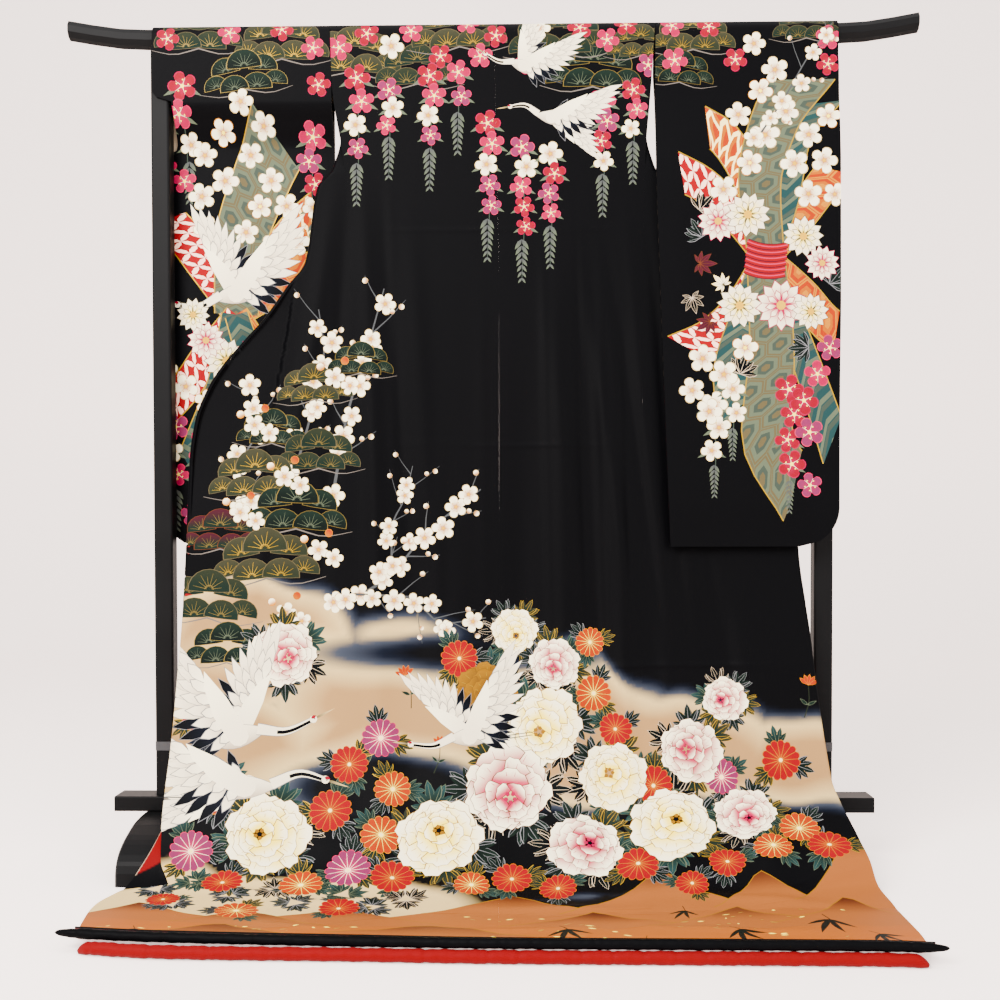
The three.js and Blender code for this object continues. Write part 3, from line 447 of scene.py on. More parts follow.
class Ink(Enum):
    """The dyer's colours, as red, green, blue of the finished cloth, and metal for leaf."""

    BLACK = "020203"
    NIGHT = "0a0e18"
    SLATE = "2e333d"
    ASH = "554f49"
    BEIGE = "8c6a40"
    SAND = "b49a64"
    CREAM = "ecd083"
    IVORY = "f0e6c0"
    WHITE = "ddd0b0"
    PEARL = "a08f78"
    SILVER = "626264"
    SMOKE = "383a3b"
    SCARLET = "75010b"
    VERMILION = "600004"
    RED = "720119"
    ROSE = "870133"
    PINK = "a01840"
    BLUSH = "f3bda6"
    MAUVE = "661f40"
    PLUM = "390e1c"
    WINE = "2f0e17"
    ORANGE = "862401"
    TANGERINE = "924801"
    APRICOT = "a16104"
    RUST = "3c1709"
    AMBER = "7c451c"
    CLAY = "4c2612"
    YELLOW = "b88a14"
    LEMON = "eed23c"
    OCHRE = "744d02"
    HONEY = "5a3b0e"
    OLIVE = "28281b"
    MOSS = "1b2015"
    PINE = "0e1913"
    DEEP = "070d0a"
    TEAL = "183030"
    SAGE = "2e372f"
    CELADON = "454d3c"
    BRONZE = "48402a"
    LEAF_GOLD = "866810+"
    OLD_GOLD = "5b4c22+"


def linear(code: str) -> Array:
    """A colour code as linear red, green, blue and its share of metal, 1 after a plus sign."""
    parts = np.array([int(code[i : i + 2], 16) / 255 for i in (0, 2, 4)])
    light = np.where(parts <= 0.04045, parts / 12.92, ((parts + 0.055) / 1.055) ** 2.4)
    return np.append(light, 1.0 if code.endswith("+") else 0.0)


INKS: dict[Ink, Array] = {ink: linear(ink.value) for ink in Ink}


@dataclass(frozen=True)
class Wash:
    """How one shape is coloured: flat, or softly from one ink to another.

    Attributes:
        near: The ink at start.
        far: The ink at end, or None for a flat wash.
        start: Where the change begins, in the shape's own units.
        end: Where it ends.
        rounded: True where it spreads round start, False where it runs straight.
    """

    near: Ink
    far: Ink | None = None
    start: tuple[float, float] = (0.0, 0.0)
    end: tuple[float, float] = (0.0, 1.0)
    rounded: bool = False


class Canvas:
    """The flat cut that a design is laid on, shape over shape."""

    def __init__(self) -> None:
        """Starts empty."""
        self.shapes: list[Array] = []
        self.inks: list[Array] = []
        self.axes: list[Array] = []

    def add(self, points: Array, near: Array, far: Array, axis: Sequence[float]) -> None:
        """Lays one shape on top.

        Args:
            points: Its outline as (n, 2).
            near: The first ink's four numbers.
            far: The last ink's four numbers.
            axis: start x, start down, end x, end down, and 1 where the wash is rounded.
        """
        x, y = points.T
        turned = (x * np.roll(y, -1) - y * np.roll(x, -1)).sum() < 0
        self.shapes.append(points[::-1] if turned else points)
        self.inks.append(np.stack([near, far]))
        self.axes.append(np.asarray(axis, float))

    def cover(self, place: Array, radius: float) -> None:
        """Takes away the shapes that a round, about to be drawn, would wholly hide.

        Args:
            place: The round's middle.
            radius: Its radius.
        """
        keep = [
            i
            for i, shape in enumerate(self.shapes)
            if ((shape[0] - place) ** 2).sum() > radius**2
            or ((shape - place) ** 2).sum(1).max() > radius**2
        ]
        if len(keep) < len(self.shapes):
            self.shapes = [self.shapes[i] for i in keep]
            self.inks = [self.inks[i] for i in keep]
            self.axes = [self.axes[i] for i in keep]

    def within(self, low: Array, high: Array) -> list[int]:
        """The numbers of the shapes that reach into a box, in order."""
        boxes = [(shape.min(0), shape.max(0)) for shape in self.shapes]
        return [i for i, (a, b) in enumerate(boxes) if (b >= low).all() and (a <= high).all()]


class Pen:
    """A place, turn and size on a canvas that shapes are drawn from."""

    def __init__(self, canvas: Canvas, place: Array | None = None, turn: Array | None = None) -> None:
        """Stores where the pen is.

        Args:
            canvas: What it draws on.
            place: Its own origin.
            turn: Its 2 by 2 matrix of turn and size.
        """
        self.canvas = canvas
        self.place = np.zeros(2) if place is None else place
        self.turn = np.eye(2) if turn is None else turn

    def moved(self, x: float, y: float, turn: float = 0.0, size: float = 1.0, flip: bool = False) -> Pen:
        """A pen at another place, in this pen's own units.

        Args:
            x: Shift across.
            y: Shift down.
            turn: Turn in radians, clockwise as seen.
            size: Factor on everything drawn.
            flip: True to draw mirrored across.

        Returns:
            The new pen.
        """
        c, s = math.cos(turn), math.sin(turn)
        matrix = np.array([[c, -s], [s, c]]) * size
        if flip:
            matrix = matrix @ np.diag([-1.0, 1.0])
        return Pen(self.canvas, self.place + self.turn @ np.array([x, y]), self.turn @ matrix)

    def to(self, points: Array) -> Array:
        """Own points as the canvas's."""
        return np.asarray(points, float) @ self.turn.T + self.place

    def cover(self, radius: float) -> None:
        """Takes away what a round of this radius at the pen would hide."""
        self.canvas.cover(self.place, radius * math.sqrt(abs(np.linalg.det(self.turn))))

    def fill(self, points: Array, wash: Wash) -> None:
        """Lays one closed shape."""
        start, end = self.to(np.array([wash.start, wash.end]))
        near = INKS[wash.near]
        far = near if wash.far is None else INKS[wash.far]
        self.canvas.add(self.to(points), near, far, [*start, *end, float(wash.rounded)])

    def line(self, points: Array, width: float, ink: Ink, thin: float = 1.0) -> None:
        """Draws a line as a narrow shape.

        Args:
            points: The line as (n, 2).
            width: Its width at the start.
            ink: Its colour.
            thin: Its last width over its first.
        """
        points = np.asarray(points, float)
        run = np.gradient(points, axis=0)
        across = np.stack([-run[:, 1], run[:, 0]], 1)
        across /= np.maximum(np.linalg.norm(across, axis=1, keepdims=True), 1e-6)
        half = np.linspace(width, width * thin, len(points))[:, None] / 2
        outline = np.concatenate([points + across * half, (points - across * half)[::-1]])
        self.fill(outline, Wash(ink))

    def edged(self, points: Array, wash: Wash, edge: Ink, width: float) -> None:
        """Lays a shape with an outline, as the shape in the edge's ink under a smaller one.

        Args:
            points: The shape's outline.
            wash: How it is coloured.
            edge: The outline's ink.
            width: The outline's width.
        """
        points = np.asarray(points, float)
        self.fill(points, Wash(edge))
        middle = points.mean(0)
        size = np.linalg.norm(points - middle, axis=1).mean()
        self.fill(middle + (points - middle) * (1 - min(width / size, 0.5)), wash)


def rotation(turn: float) -> Array:
    """The 2 by 2 matrix of a turn."""
    return np.array([[math.cos(turn), -math.sin(turn)], [math.sin(turn), math.cos(turn)]])


def trimmed(shape: Array, low: Array, high: Array) -> Array:
    """What a box keeps of a shape, cut at one side of the box after another.

    Args:
        shape: An outline as (n, 2).
        low: The box's low corner.
        high: Its high corner.

    Returns:
        The kept outline, empty where nothing is left.
    """
    for axis, limit, way in ((0, low[0], 1), (0, high[0], -1), (1, low[1], 1), (1, high[1], -1)):
        if not len(shape):
            break
        depth = (shape[:, axis] - limit) * way
        if (depth >= 0).all():
            continue
        kept = []
        for p, q, a, b in zip(shape, np.roll(shape, -1, 0), depth, np.roll(depth, -1)):
            if a >= 0:
                kept.append(p)
            if (a >= 0) != (b >= 0):
                kept.append(p + (q - p) * a / (a - b))
        shape = np.array(kept)
    return shape


def ring(radius: float, count: int, x: float = 0.0, y: float = 0.0) -> Array:
    """Points round a circle."""
    a = np.arange(count) * 2 * np.pi / count
    return np.stack([x + radius * np.cos(a), y + radius * np.sin(a)], 1)


def arc(radius: float, start: float, end: float, count: int, x: float = 0.0, y: float = 0.0) -> Array:
    """Points along part of a circle."""
    a = np.linspace(start, end, count)
    return np.stack([x + radius * np.cos(a), y + radius * np.sin(a)], 1)


def blade(length: float, width: float, count: int = 6, fullest: float = 0.8, bend: float = 0.0) -> Array:
    """A leaf or feather from the origin along +x.

    Args:
        length: Base to tip.
        width: At its widest.
        count: Points a side.
        fullest: Below 1 it is widest near its base, above 1 near its tip.
        bend: How far its middle lies off the straight.

    Returns:
        The outline as (n, 2).
    """
    t = np.linspace(0, 1, count + 1)
    half = width / 2 * np.sin(np.pi * t**fullest)
    middle = bend * np.sin(np.pi * t)
    upper = np.stack([length * t, middle - half], 1)
    lower = np.stack([length * t, middle + half], 1)[1:-1][::-1]
    return np.concatenate([upper, lower])


def smooth_path(points: Sequence[Sequence[float]], count: int) -> Array:
    """Evenly spaced points on a smooth line through the given ones.

    Args:
        points: Two or more points.
        count: How many to return.

    Returns:
        The line as (count, 2).
    """
    points = np.asarray(points, float)
    steps = np.concatenate([[0], np.cumsum(np.linalg.norm(np.diff(points, axis=0), axis=1))])
    at = np.linspace(0, steps[-1], count)
    if len(points) == 2:
        return np.stack([np.interp(at, steps, points[:, k]) for k in (0, 1)], 1)
    return np.stack([Curve(steps, points[:, k])(at) for k in (0, 1)], 1)


# ---- Motifs ----


@dataclass(frozen=True)
class FlowerInks:
    """The inks of one flower."""

    edge: Ink
    petal: Ink
    heart: Ink
    eye: Ink
    vein: Ink


class Flower(Enum):
    """The dyer's flower colourings."""

    WHITE_PLUM = FlowerInks(Ink.SAND, Ink.IVORY, Ink.TANGERINE, Ink.YELLOW, Ink.APRICOT)
    CREAM_PLUM = FlowerInks(Ink.APRICOT, Ink.IVORY, Ink.APRICOT, Ink.LEMON, Ink.ORANGE)
    RED_PLUM = FlowerInks(Ink.ROSE, Ink.RED, Ink.ROSE, Ink.LEMON, Ink.BLUSH)
    ROSE_PLUM = FlowerInks(Ink.PINK, Ink.ROSE, Ink.PINK, Ink.LEMON, Ink.WHITE)
    MAUVE_PLUM = FlowerInks(Ink.PINK, Ink.MAUVE, Ink.ROSE, Ink.LEMON, Ink.BLUSH)
    CREAM_PEONY = FlowerInks(Ink.OCHRE, Ink.IVORY, Ink.LEMON, Ink.OCHRE, Ink.YELLOW)
    PINK_PEONY = FlowerInks(Ink.CLAY, Ink.IVORY, Ink.PINK, Ink.ROSE, Ink.PINK)
    GOLD_PEONY = FlowerInks(Ink.HONEY, Ink.OCHRE, Ink.HONEY, Ink.YELLOW, Ink.LEAF_GOLD)
    RED_MUM = FlowerInks(Ink.TANGERINE, Ink.SCARLET, Ink.ORANGE, Ink.CREAM, Ink.APRICOT)
    ORANGE_MUM = FlowerInks(Ink.APRICOT, Ink.ORANGE, Ink.TANGERINE, Ink.CREAM, Ink.LEMON)
    MAUVE_MUM = FlowerInks(Ink.PINK, Ink.MAUVE, Ink.PINK, Ink.CREAM, Ink.BLUSH)
    WHITE_MUM = FlowerInks(Ink.BRONZE, Ink.WHITE, Ink.LEMON, Ink.YELLOW, Ink.OLD_GOLD)
    PINK_MUM = FlowerInks(Ink.ROSE, Ink.WHITE, Ink.PINK, Ink.YELLOW, Ink.ROSE)


@dataclass(frozen=True)
class Bloom:
    """What every blossom and bud has: its radius and its inks."""

    radius: float
    inks: FlowerInks


class PlumBlossom(Bloom):
    """A five-petalled plum blossom."""

    def draw(self, pen: Pen) -> None:
        """Lays its five-lobed round, then the stamens and the eye."""
        r = self.radius
        a = np.arange(30) * 2 * np.pi / 30
        rim = r * (0.56 + 0.44 * np.abs(np.cos(2.5 * a)) ** 0.55)
        outline = np.stack([rim * np.cos(a), rim * np.sin(a)], 1)
        pen.cover(0.7 * r)
        pen.fill(outline * 1.05, Wash(self.inks.edge))
        pen.fill(outline * 0.98, Wash(self.inks.heart, self.inks.petal, (0.0, 0), (0.66 * r, 0), True))
        for k in range(5):
            spoke = pen.moved(0, 0, k * 2 * math.pi / 5 + math.pi / 5)
            spoke.line([(0, 0), (0.6 * r, 0)], 0.05 * r, self.inks.vein, 0.3)
            spoke.fill(ring(0.08 * r, 3, 0.42 * r, 0.1 * r), Wash(self.inks.eye))
        pen.fill(ring(0.15 * r, 6), Wash(self.inks.eye))


class Bud(Bloom):
    """A round closed bud in its cup."""

    def draw(self, pen: Pen) -> None:
        """Lays cup and bud, opening along +x."""
        r = self.radius
        pen.fill(blade(1.3 * r, 1.5 * r, 4, 0.7), Wash(Ink.PLUM))
        wash = Wash(self.inks.petal, self.inks.heart, (r * 1.6, 0), (0.2 * r, 0))
        pen.edged(ring(r, 9, 0.9 * r), wash, self.inks.edge, 0.1 * r)


@dataclass(frozen=True)
class Chrysanthemum(Bloom):
    """An open chrysanthemum, seen from the front."""

    petals: int = 15

    def draw(self, pen: Pen) -> None:
        """Lays the notched round, its rays and its eye."""
        r, petals = self.radius, self.petals
        a = np.arange(petals * 4) * 2 * np.pi / (petals * 4)
        swell = 0.87 + 0.13 * np.abs(np.cos(a * petals / 2)) ** 0.6
        swell += 0.02 * np.sin(3 * a + r)
        rim = r * swell
        outline = np.stack([rim * np.cos(a), rim * np.sin(a)], 1)
        pen.cover(0.85 * r)
        wash = Wash(self.inks.heart, self.inks.petal, (0, 0), (0.62 * r, 0), True)
        pen.edged(outline, wash, self.inks.edge, 0.035 * r)
        for k in range(petals):
            ray = pen.moved(0, 0, (k + 0.5) * 2 * math.pi / petals)
            ray.line([(0.12 * r, 0), (0.86 * r, 0)], 0.026 * r, self.inks.vein, 0.5)
        pen.fill(ring(0.14 * r, 8), Wash(self.inks.vein))
        pen.fill(ring(0.1 * r, 6), Wash(self.inks.eye))


class Pompon(Bloom):
    """A double chrysanthemum with two rounds of narrow petals."""

    def draw(self, pen: Pen) -> None:
        """Lays the outer round, then the inner one, then the eye."""
        pen.cover(0.8 * self.radius)
        pen.fill(ring(0.7 * self.radius, 12), Wash(self.inks.edge))
        for share, count, shift in ((1.0, 13, 0.0), (0.62, 9, 0.2)):
            length = self.radius * share
            for k in range(count):
                petal = pen.moved(0, 0, shift + k * 2 * math.pi / count)
                shape = blade(0.84 * length, length * 0.4, 3, 1.4) + [0.16 * length, 0]
                wash = Wash(self.inks.heart, self.inks.petal, (0.2 * length, 0), (0.75 * length, 0))
                petal.edged(shape, wash, self.inks.edge, 0.035 * self.radius)
        pen.fill(ring(0.18 * self.radius, 8), Wash(self.inks.eye))


@dataclass(frozen=True)
class Peony(Bloom):
    """A full peony of ruffled petals, round in round."""

    seed: int = 0

    def petal(self, length: float, half: float, chance: np.random.Generator) -> Array:
        """One ruffled petal from near the middle along +x.

        Args:
            length: How far it reaches.
            half: Half the angle it spans.
            chance: Where its unevenness comes from.

        Returns:
            Its outline.
        """
        a = np.linspace(-half, half, 11)
        ruffle = 1 + 0.05 * np.cos(a / half * 2 * np.pi) - 0.2 * (a / half) ** 4
        ruffle += chance.uniform(-0.02, 0.02, 11) + 0.025 * np.cos(np.arange(11) * np.pi)
        outer = np.stack([length * ruffle * np.cos(a), length * ruffle * np.sin(a)], 1)
        return np.concatenate([outer, [[0.3 * length, 0.1 * length], [0.3 * length, -0.1 * length]]])

    def draw(self, pen: Pen) -> None:
        """Lays the rounds of petals from the outside in."""
        chance = np.random.default_rng(self.seed + int(self.radius * 7) + 11)
        lean = rotation(chance.uniform(0, 6)) @ [0.3 * self.radius, 0]
        middle = pen
        pen.cover(0.85 * self.radius)
        for share, count in ((1.0, 7), (0.8, 6), (0.58, 5), (0.36, 4)):
            start = chance.uniform(0, 6)
            pen = middle.moved(*(lean * (1 - share)))
            if share < 1:
                pen.cover(0.72 * self.radius * share)
            for k in chance.permutation(count):
                turned = pen.moved(0, 0, start + k * 2 * math.pi / count)
                length = self.radius * share * chance.uniform(0.93, 1.03)
                shape = self.petal(length, math.pi / count * chance.uniform(1.25, 1.6), chance)
                wash = Wash(self.inks.heart, self.inks.petal, (0.45 * length, 0), (0.98 * length, 0))
                turned.edged(shape, wash, self.inks.edge, 0.018 * self.radius)
                if share > 0.4:
                    for off in (-0.35, 0.3):
                        vein = turned.moved(0, 0, off * math.pi / count)
                        line = [(0.72 * length, 0), (0.88 * length, 0)]
                        vein.line(line, 0.016 * self.radius, self.inks.vein, 0.4)
        for k in range(5):
            spot = ring(0.055 * self.radius, 5)
            pen.fill(spot + 0.1 * self.radius * rotation(k * 1.26)[0], Wash(self.inks.eye))


@dataclass(frozen=True)
class LeafInks:
    """The inks of one leaf."""

    edge: Ink
    near: Ink
    far: Ink


class Leaf(Enum):
    """The dyer's leaf colourings."""

    DARK = LeafInks(Ink.SILVER, Ink.DEEP, Ink.PINE)
    MOSSY = LeafInks(Ink.LEAF_GOLD, Ink.PINE, Ink.OLIVE)
    TEAL = LeafInks(Ink.CELADON, Ink.PINE, Ink.TEAL)
    PALE = LeafInks(Ink.IVORY, Ink.MOSS, Ink.SAGE)
    BLACK = LeafInks(Ink.PEARL, Ink.BLACK, Ink.DEEP)
    WINE = LeafInks(Ink.CLAY, Ink.WINE, Ink.PLUM)
    ORANGE = LeafInks(Ink.CREAM, Ink.ORANGE, Ink.SCARLET)
    IVORY = LeafInks(Ink.BRONZE, Ink.IVORY, Ink.CREAM)


@dataclass(frozen=True)
class LobedLeaf:
    """A peony or chrysanthemum leaf of several pointed lobes with its veins."""

    length: float
    inks: LeafInks
    lobes: int = 3

    def draw(self, pen: Pen) -> None:
        """Lays the lobed outline and one vein a lobe."""
        fan = 0.52 if self.lobes == 3 else 0.42
        turns = (np.arange(self.lobes) - (self.lobes - 1) / 2) * fan
        lengths = self.length * (1 - 0.3 * np.abs(turns))
        outline = [(0.0, 0.0)]
        for turn, length in zip(turns, lengths):
            for along, off in ((0.55, -0.15), (0.82, -0.1), (1.0, 0.0), (0.82, 0.1), (0.55, 0.15)):
                x, y = length * along, length * off
                outline.append(tuple(rotation(float(turn)) @ (x, y)))
        shape = np.array(outline)
        wash = Wash(self.inks.near, self.inks.far, (0.2 * self.length, 0), (self.length, 0))
        pen.edged(shape, wash, self.inks.edge, 0.024 * self.length)
        for turn, length in zip(turns, lengths):
            lobe = pen.moved(0, 0, float(turn))
            lobe.line([(0.1 * length, 0), (0.86 * length, 0)], 0.024 * self.length, self.inks.edge, 0.4)


@dataclass(frozen=True)
class LeafSpray:
    """Several lobed leaves fanned from one stalk."""

    length: float
    inks: LeafInks
    fan: float = 1.6

    def draw(self, pen: Pen) -> None:
        """Lays three leaves, the outer ones first."""
        turns = np.linspace(-0.5, 0.5, 3) * self.fan
        for i, turn in enumerate(sorted(turns, key=lambda t: -abs(t))):
            leaf = LobedLeaf(self.length * (0.8 + 0.2 * (i / 3)), self.inks)
            leaf.draw(pen.moved(0, 0, float(turn)))


@dataclass(frozen=True)
class HangingSpray:
    """A weeping strand of plum blossoms that ends in a feathery leaf."""

    length: float
    radius: float
    inks: tuple[FlowerInks, ...]
    tail: float = 110.0

    def draw(self, pen: Pen) -> None:
        """Lays stem, leaf, small leaves and blossoms, from the origin downwards."""
        count = max(2, round(self.length / (1.75 * self.radius)))
        sway = 0.03 * self.length
        t = np.linspace(0, 1, 6)
        stem = np.stack([sway * np.sin(t * 3), t * (self.length + self.tail)], 1)
        pen.line(stem, 2.2, Ink.SAGE, 0.5)
        for share in np.linspace(0.02, 0.94, 7):
            for way in (-1, 1):
                leaf = pen.moved(sway * math.sin(3), self.length + self.tail * share, math.pi / 2 - way * 0.6)
                size = self.tail * 0.3 * (1 - 0.5 * share)
                leaf.fill(blade(size, size * 0.34, 3), Wash(Ink.SMOKE, Ink.CELADON, (0, 0), (size, 0)))
        places = []
        for k in range(count):
            share = (k + 0.4) / count
            x = sway * math.sin(3 * share) + 0.3 * self.radius * math.sin(k * 2.1)
            places.append((x, share * self.length, self.radius * (1.1 - 0.32 * share)))
        for x, y, size in places:
            for way in (-1, 1):
                leaf = pen.moved(x, y, math.pi / 2 + way * 1.1)
                leaf.fill(blade(size * 1.5, size * 0.36, 3), Wash(Ink.SAGE, Ink.CELADON, (0, 0), (size, 0)))
        for k, (x, y, size) in enumerate(places):
            PlumBlossom(size, self.inks[k % len(self.inks)]).draw(pen.moved(x, y, k * 0.9))


@dataclass(frozen=True)
class PlumBranch:
    """A bare branch with blossoms and buds set along it."""

    points: tuple[tuple[float, float], ...]
    width: float
    inks: FlowerInks
    radius: float
    blossoms: int
    seed: int

    def draw(self, pen: Pen) -> None:
        """Lays the branch, its twigs, then buds and blossoms."""
        chance = np.random.default_rng(self.seed + 5)
        path = smooth_path(self.points, 14)
        pen.line(path, self.width, Ink.SMOKE, 0.35)
        run = np.gradient(path, axis=0)
        for k in range(2, 13, 2):
            heading = math.atan2(run[k, 1], run[k, 0])
            way = 1 if k % 4 else -1
            twig = pen.moved(*path[k], heading + way * chance.uniform(0.5, 0.9))
            length = chance.uniform(2.4, 4.4) * self.radius
            line = [(0, 0), (0.5 * length, way * 1.5), (length, 0)]
            twig.line(line, self.width * 0.45, Ink.SMOKE, 0.3)
            Bud(self.radius * 0.27, self.inks).draw(twig.moved(length * 0.8, 0, way * 0.8))
            if k % 4:
                Bud(self.radius * 0.24, self.inks).draw(twig.moved(length * 0.6, 0, -way * 0.8))
        for k in range(self.blossoms):
            share = (k + 0.6) / self.blossoms
            at = path[min(int(share * 13), 13)] + chance.uniform(-0.8, 0.8, 2) * self.radius
            size = self.radius * chance.uniform(0.85, 1.1)
            PlumBlossom(size, self.inks).draw(pen.moved(*at, chance.uniform(0, 6)))


@dataclass(frozen=True)
class PineInks:
    """The inks of one pine cloud."""

    rim: Ink
    near: Ink
    far: Ink
    needle: Ink


class Pine(Enum):
    """The dyer's pine colourings."""

    OLIVE = PineInks(Ink.BRONZE, Ink.MOSS, Ink.OLIVE, Ink.LEAF_GOLD)
    GREY = PineInks(Ink.BRONZE, Ink.PINE, Ink.MOSS, Ink.OLD_GOLD)
    GREEN = PineInks(Ink.OLD_GOLD, Ink.DEEP, Ink.PINE, Ink.CELADON)
    WINE = PineInks(Ink.CLAY, Ink.PINE, Ink.WINE, Ink.OLD_GOLD)


LOBES = Table(
    "x down radius",
    (-0.24, -0.13, 0.19), (0.24, -0.13, 0.19), (0.0, -0.18, 0.23), (-0.38, 0.06, 0.16), (0.38, 0.06, 0.16),
    (-0.14, 0.1, 0.2), (0.15, 0.1, 0.19),
)


@dataclass(frozen=True)
class PineCloud:
    """A pine bough drawn as a bank of rounded clouds, each with a fan of needles."""

    width: float
    inks: PineInks

    def draw(self, pen: Pen) -> None:
        """Lays boughs below, then a high row of lobes and a low row before it."""
        w = self.width
        for way in (-1, 1):
            bough = [(0, 0.12 * w), (way * 0.3 * w, 0.19 * w), (way * 0.6 * w, 0.13 * w)]
            pen.line(smooth_path(bough, 6), 0.016 * w, Ink.ASH, 0.3)
        for x, down, size in LOBES.values:
            self.lobe(pen.moved(x * w, down * w, 0.5 * x), size * w)

    def lobe(self, pen: Pen, radius: float) -> None:
        """One lobe, a little more than a half round, flat below.

        Args:
            pen: At the middle of its flat side.
            radius: Its size.
        """
        shape = arc(radius, math.pi * 0.97, math.pi * 2.03, 11)
        shape[:, 1] *= 0.95
        shape = np.concatenate([shape, [[radius * 0.5, 0.12 * radius], [-radius * 0.5, 0.12 * radius]]])
        wash = Wash(self.inks.near, self.inks.far, (0, -0.1 * radius), (0, -0.85 * radius))
        pen.edged(shape, wash, self.inks.rim, 0.035 * radius)
        for k in range(8):
            turn = math.pi * (1.06 + 0.126 * k)
            needle = pen.moved(0, 0, turn)
            reach = radius * (0.6 if k % 2 else 0.76)
            needle.line([(0.12 * radius, 0), (reach, 0)], 0.026 * radius, self.inks.needle, 0.45)
        pen.line(arc(0.2 * radius, math.pi, 2 * math.pi, 6), 0.03 * radius, self.inks.needle)


@dataclass(frozen=True)
class Crane:
    """A crane in flight.

    Attributes:
        span: The length of one wing, which sets every other size.
        near: Turn of the nearer wing.
        far: Turn of the further wing.
        neck: Three points of the neck in spans, from the breast to the head.
        legs: True where the legs trail in view.
    """

    span: float
    near: float
    far: float
    neck: tuple[tuple[float, float], ...] = ((0.2, -0.02), (0.42, -0.1), (0.62, -0.04))
    legs: bool = True

    def wing(self, pen: Pen, length: float, way: int) -> None:
        """A wing of three rows of feathers under a smooth arm.

        Args:
            pen: At the shoulder, +x along the arm.
            length: Shoulder to the longest tip.
            way: 1 or -1, the side that the feathers hang to.
        """
        rows = (
            (11, 0.62, 0.10, Ink.WHITE, Ink.PEARL),
            (8, 0.4, 0.1, Ink.WHITE, Ink.PEARL),
            (6, 0.24, 0.1, Ink.WHITE, Ink.IVORY),
        )
        for count, reach, wide, tip, base in rows:
            for k in range(count):
                share = k / (count - 1)
                root = np.array([length * mix(0.06, 0.52, share), way * length * 0.02])
                turn = way * mix(1.75, 0.18, share**0.85)
                size = length * reach * mix(0.62, 1.0, share)
                feather = pen.moved(*root, turn)
                wash = Wash(base, tip, (0, 0), (size * 0.8, 0))
                if reach > 0.5 and k < 4:
                    wash = Wash(Ink.NIGHT, Ink.BLACK, (0, 0), (size, 0))
                feather.edged(blade(size, length * wide, 4, 1.25), wash, Ink.SILVER, 0.0075 * self.span)
        arm = np.concatenate(
            [
                arc(length * 0.085, math.pi / 2, math.pi * 1.5, 6),
                [[length * 0.34, -way * length * 0.07], [length * 0.62, -way * length * 0.02]],
                [[length * 0.5, way * length * 0.05], [length * 0.25, way * length * 0.1]],
            ]
        )
        if way < 0:
            arm[:6] = arm[:6][::-1]
        pen.fill(arm, Wash(Ink.WHITE, Ink.IVORY, (0, 0), (length * 0.5, 0)))

    def draw(self, pen: Pen) -> None:
        """Lays far wing, legs, tail, body, neck, head and near wing, flying along +x."""
        s = self.span
        self.wing(pen.moved(0.02 * s, -0.03 * s, self.far), 0.86 * s, 1 if math.sin(self.far) > 0 else -1)
        if self.legs:
            for off in (0.0, 0.03):
                line = [(-0.2 * s, off * s), (-0.42 * s, (0.03 + off) * s), (-0.66 * s, (0.02 + off) * s)]
                pen.line(smooth_path(line, 6), 0.013 * s, Ink.SMOKE, 0.6)
        for k in range(7):
            tail = pen.moved(-0.16 * s, 0.01 * s, math.pi + mix(-0.45, 0.5, k / 6))
            size = s * (0.3 - 0.015 * abs(k - 3))
            shape = blade(size, 0.055 * s, 5, 1.1, 0.02 * s)
            tail.edged(shape, Wash(Ink.BLACK, Ink.NIGHT, (0, 0), (size, 0)), Ink.SILVER, 0.006 * s)
        body = blade(0.52 * s, 0.2 * s, 8, 0.85)
        body[:, 0] -= 0.26 * s
        pen.edged(body, Wash(Ink.WHITE, Ink.PEARL, (0, -0.06 * s), (0, 0.12 * s)), Ink.SILVER, 0.006 * s)
        path = smooth_path([(x * s, y * s) for x, y in self.neck], 10)
        pen.line(path, 0.1 * s, Ink.SILVER, 0.42)
        pen.line(path, 0.088 * s, Ink.WHITE, 0.4)
        pen.line(path[3:] + [0, 0.006 * s], 0.03 * s, Ink.BLACK, 0.8)
        run = path[-1] - path[-3]
        head = pen.moved(*path[-1], math.atan2(run[1], run[0]))
        head.fill(blade(0.2 * s, 0.02 * s, 4, 0.6), Wash(Ink.BRONZE, Ink.SAND, (0, 0), (0.2 * s, 0)))
        head.fill(ring(0.032 * s, 9), Wash(Ink.WHITE))
        head.fill(blade(0.05 * s, 0.03 * s, 4) + [-0.015 * s, -0.016 * s], Wash(Ink.RED))
        head.fill(ring(0.006 * s, 5, 0.012 * s, 0.002 * s), Wash(Ink.BLACK))
        self.wing(pen.moved(0, 0, self.near), s, 1 if math.sin(self.near) > 0 else -1)


class Brocade(Enum):
    """The repeats that the noshi ribbons are woven with."""

    HEXAGONS = "hexagons"
    CIRCLES = "linked circles"
    WAVES = "waves"
    CHEVRONS = "chevrons"


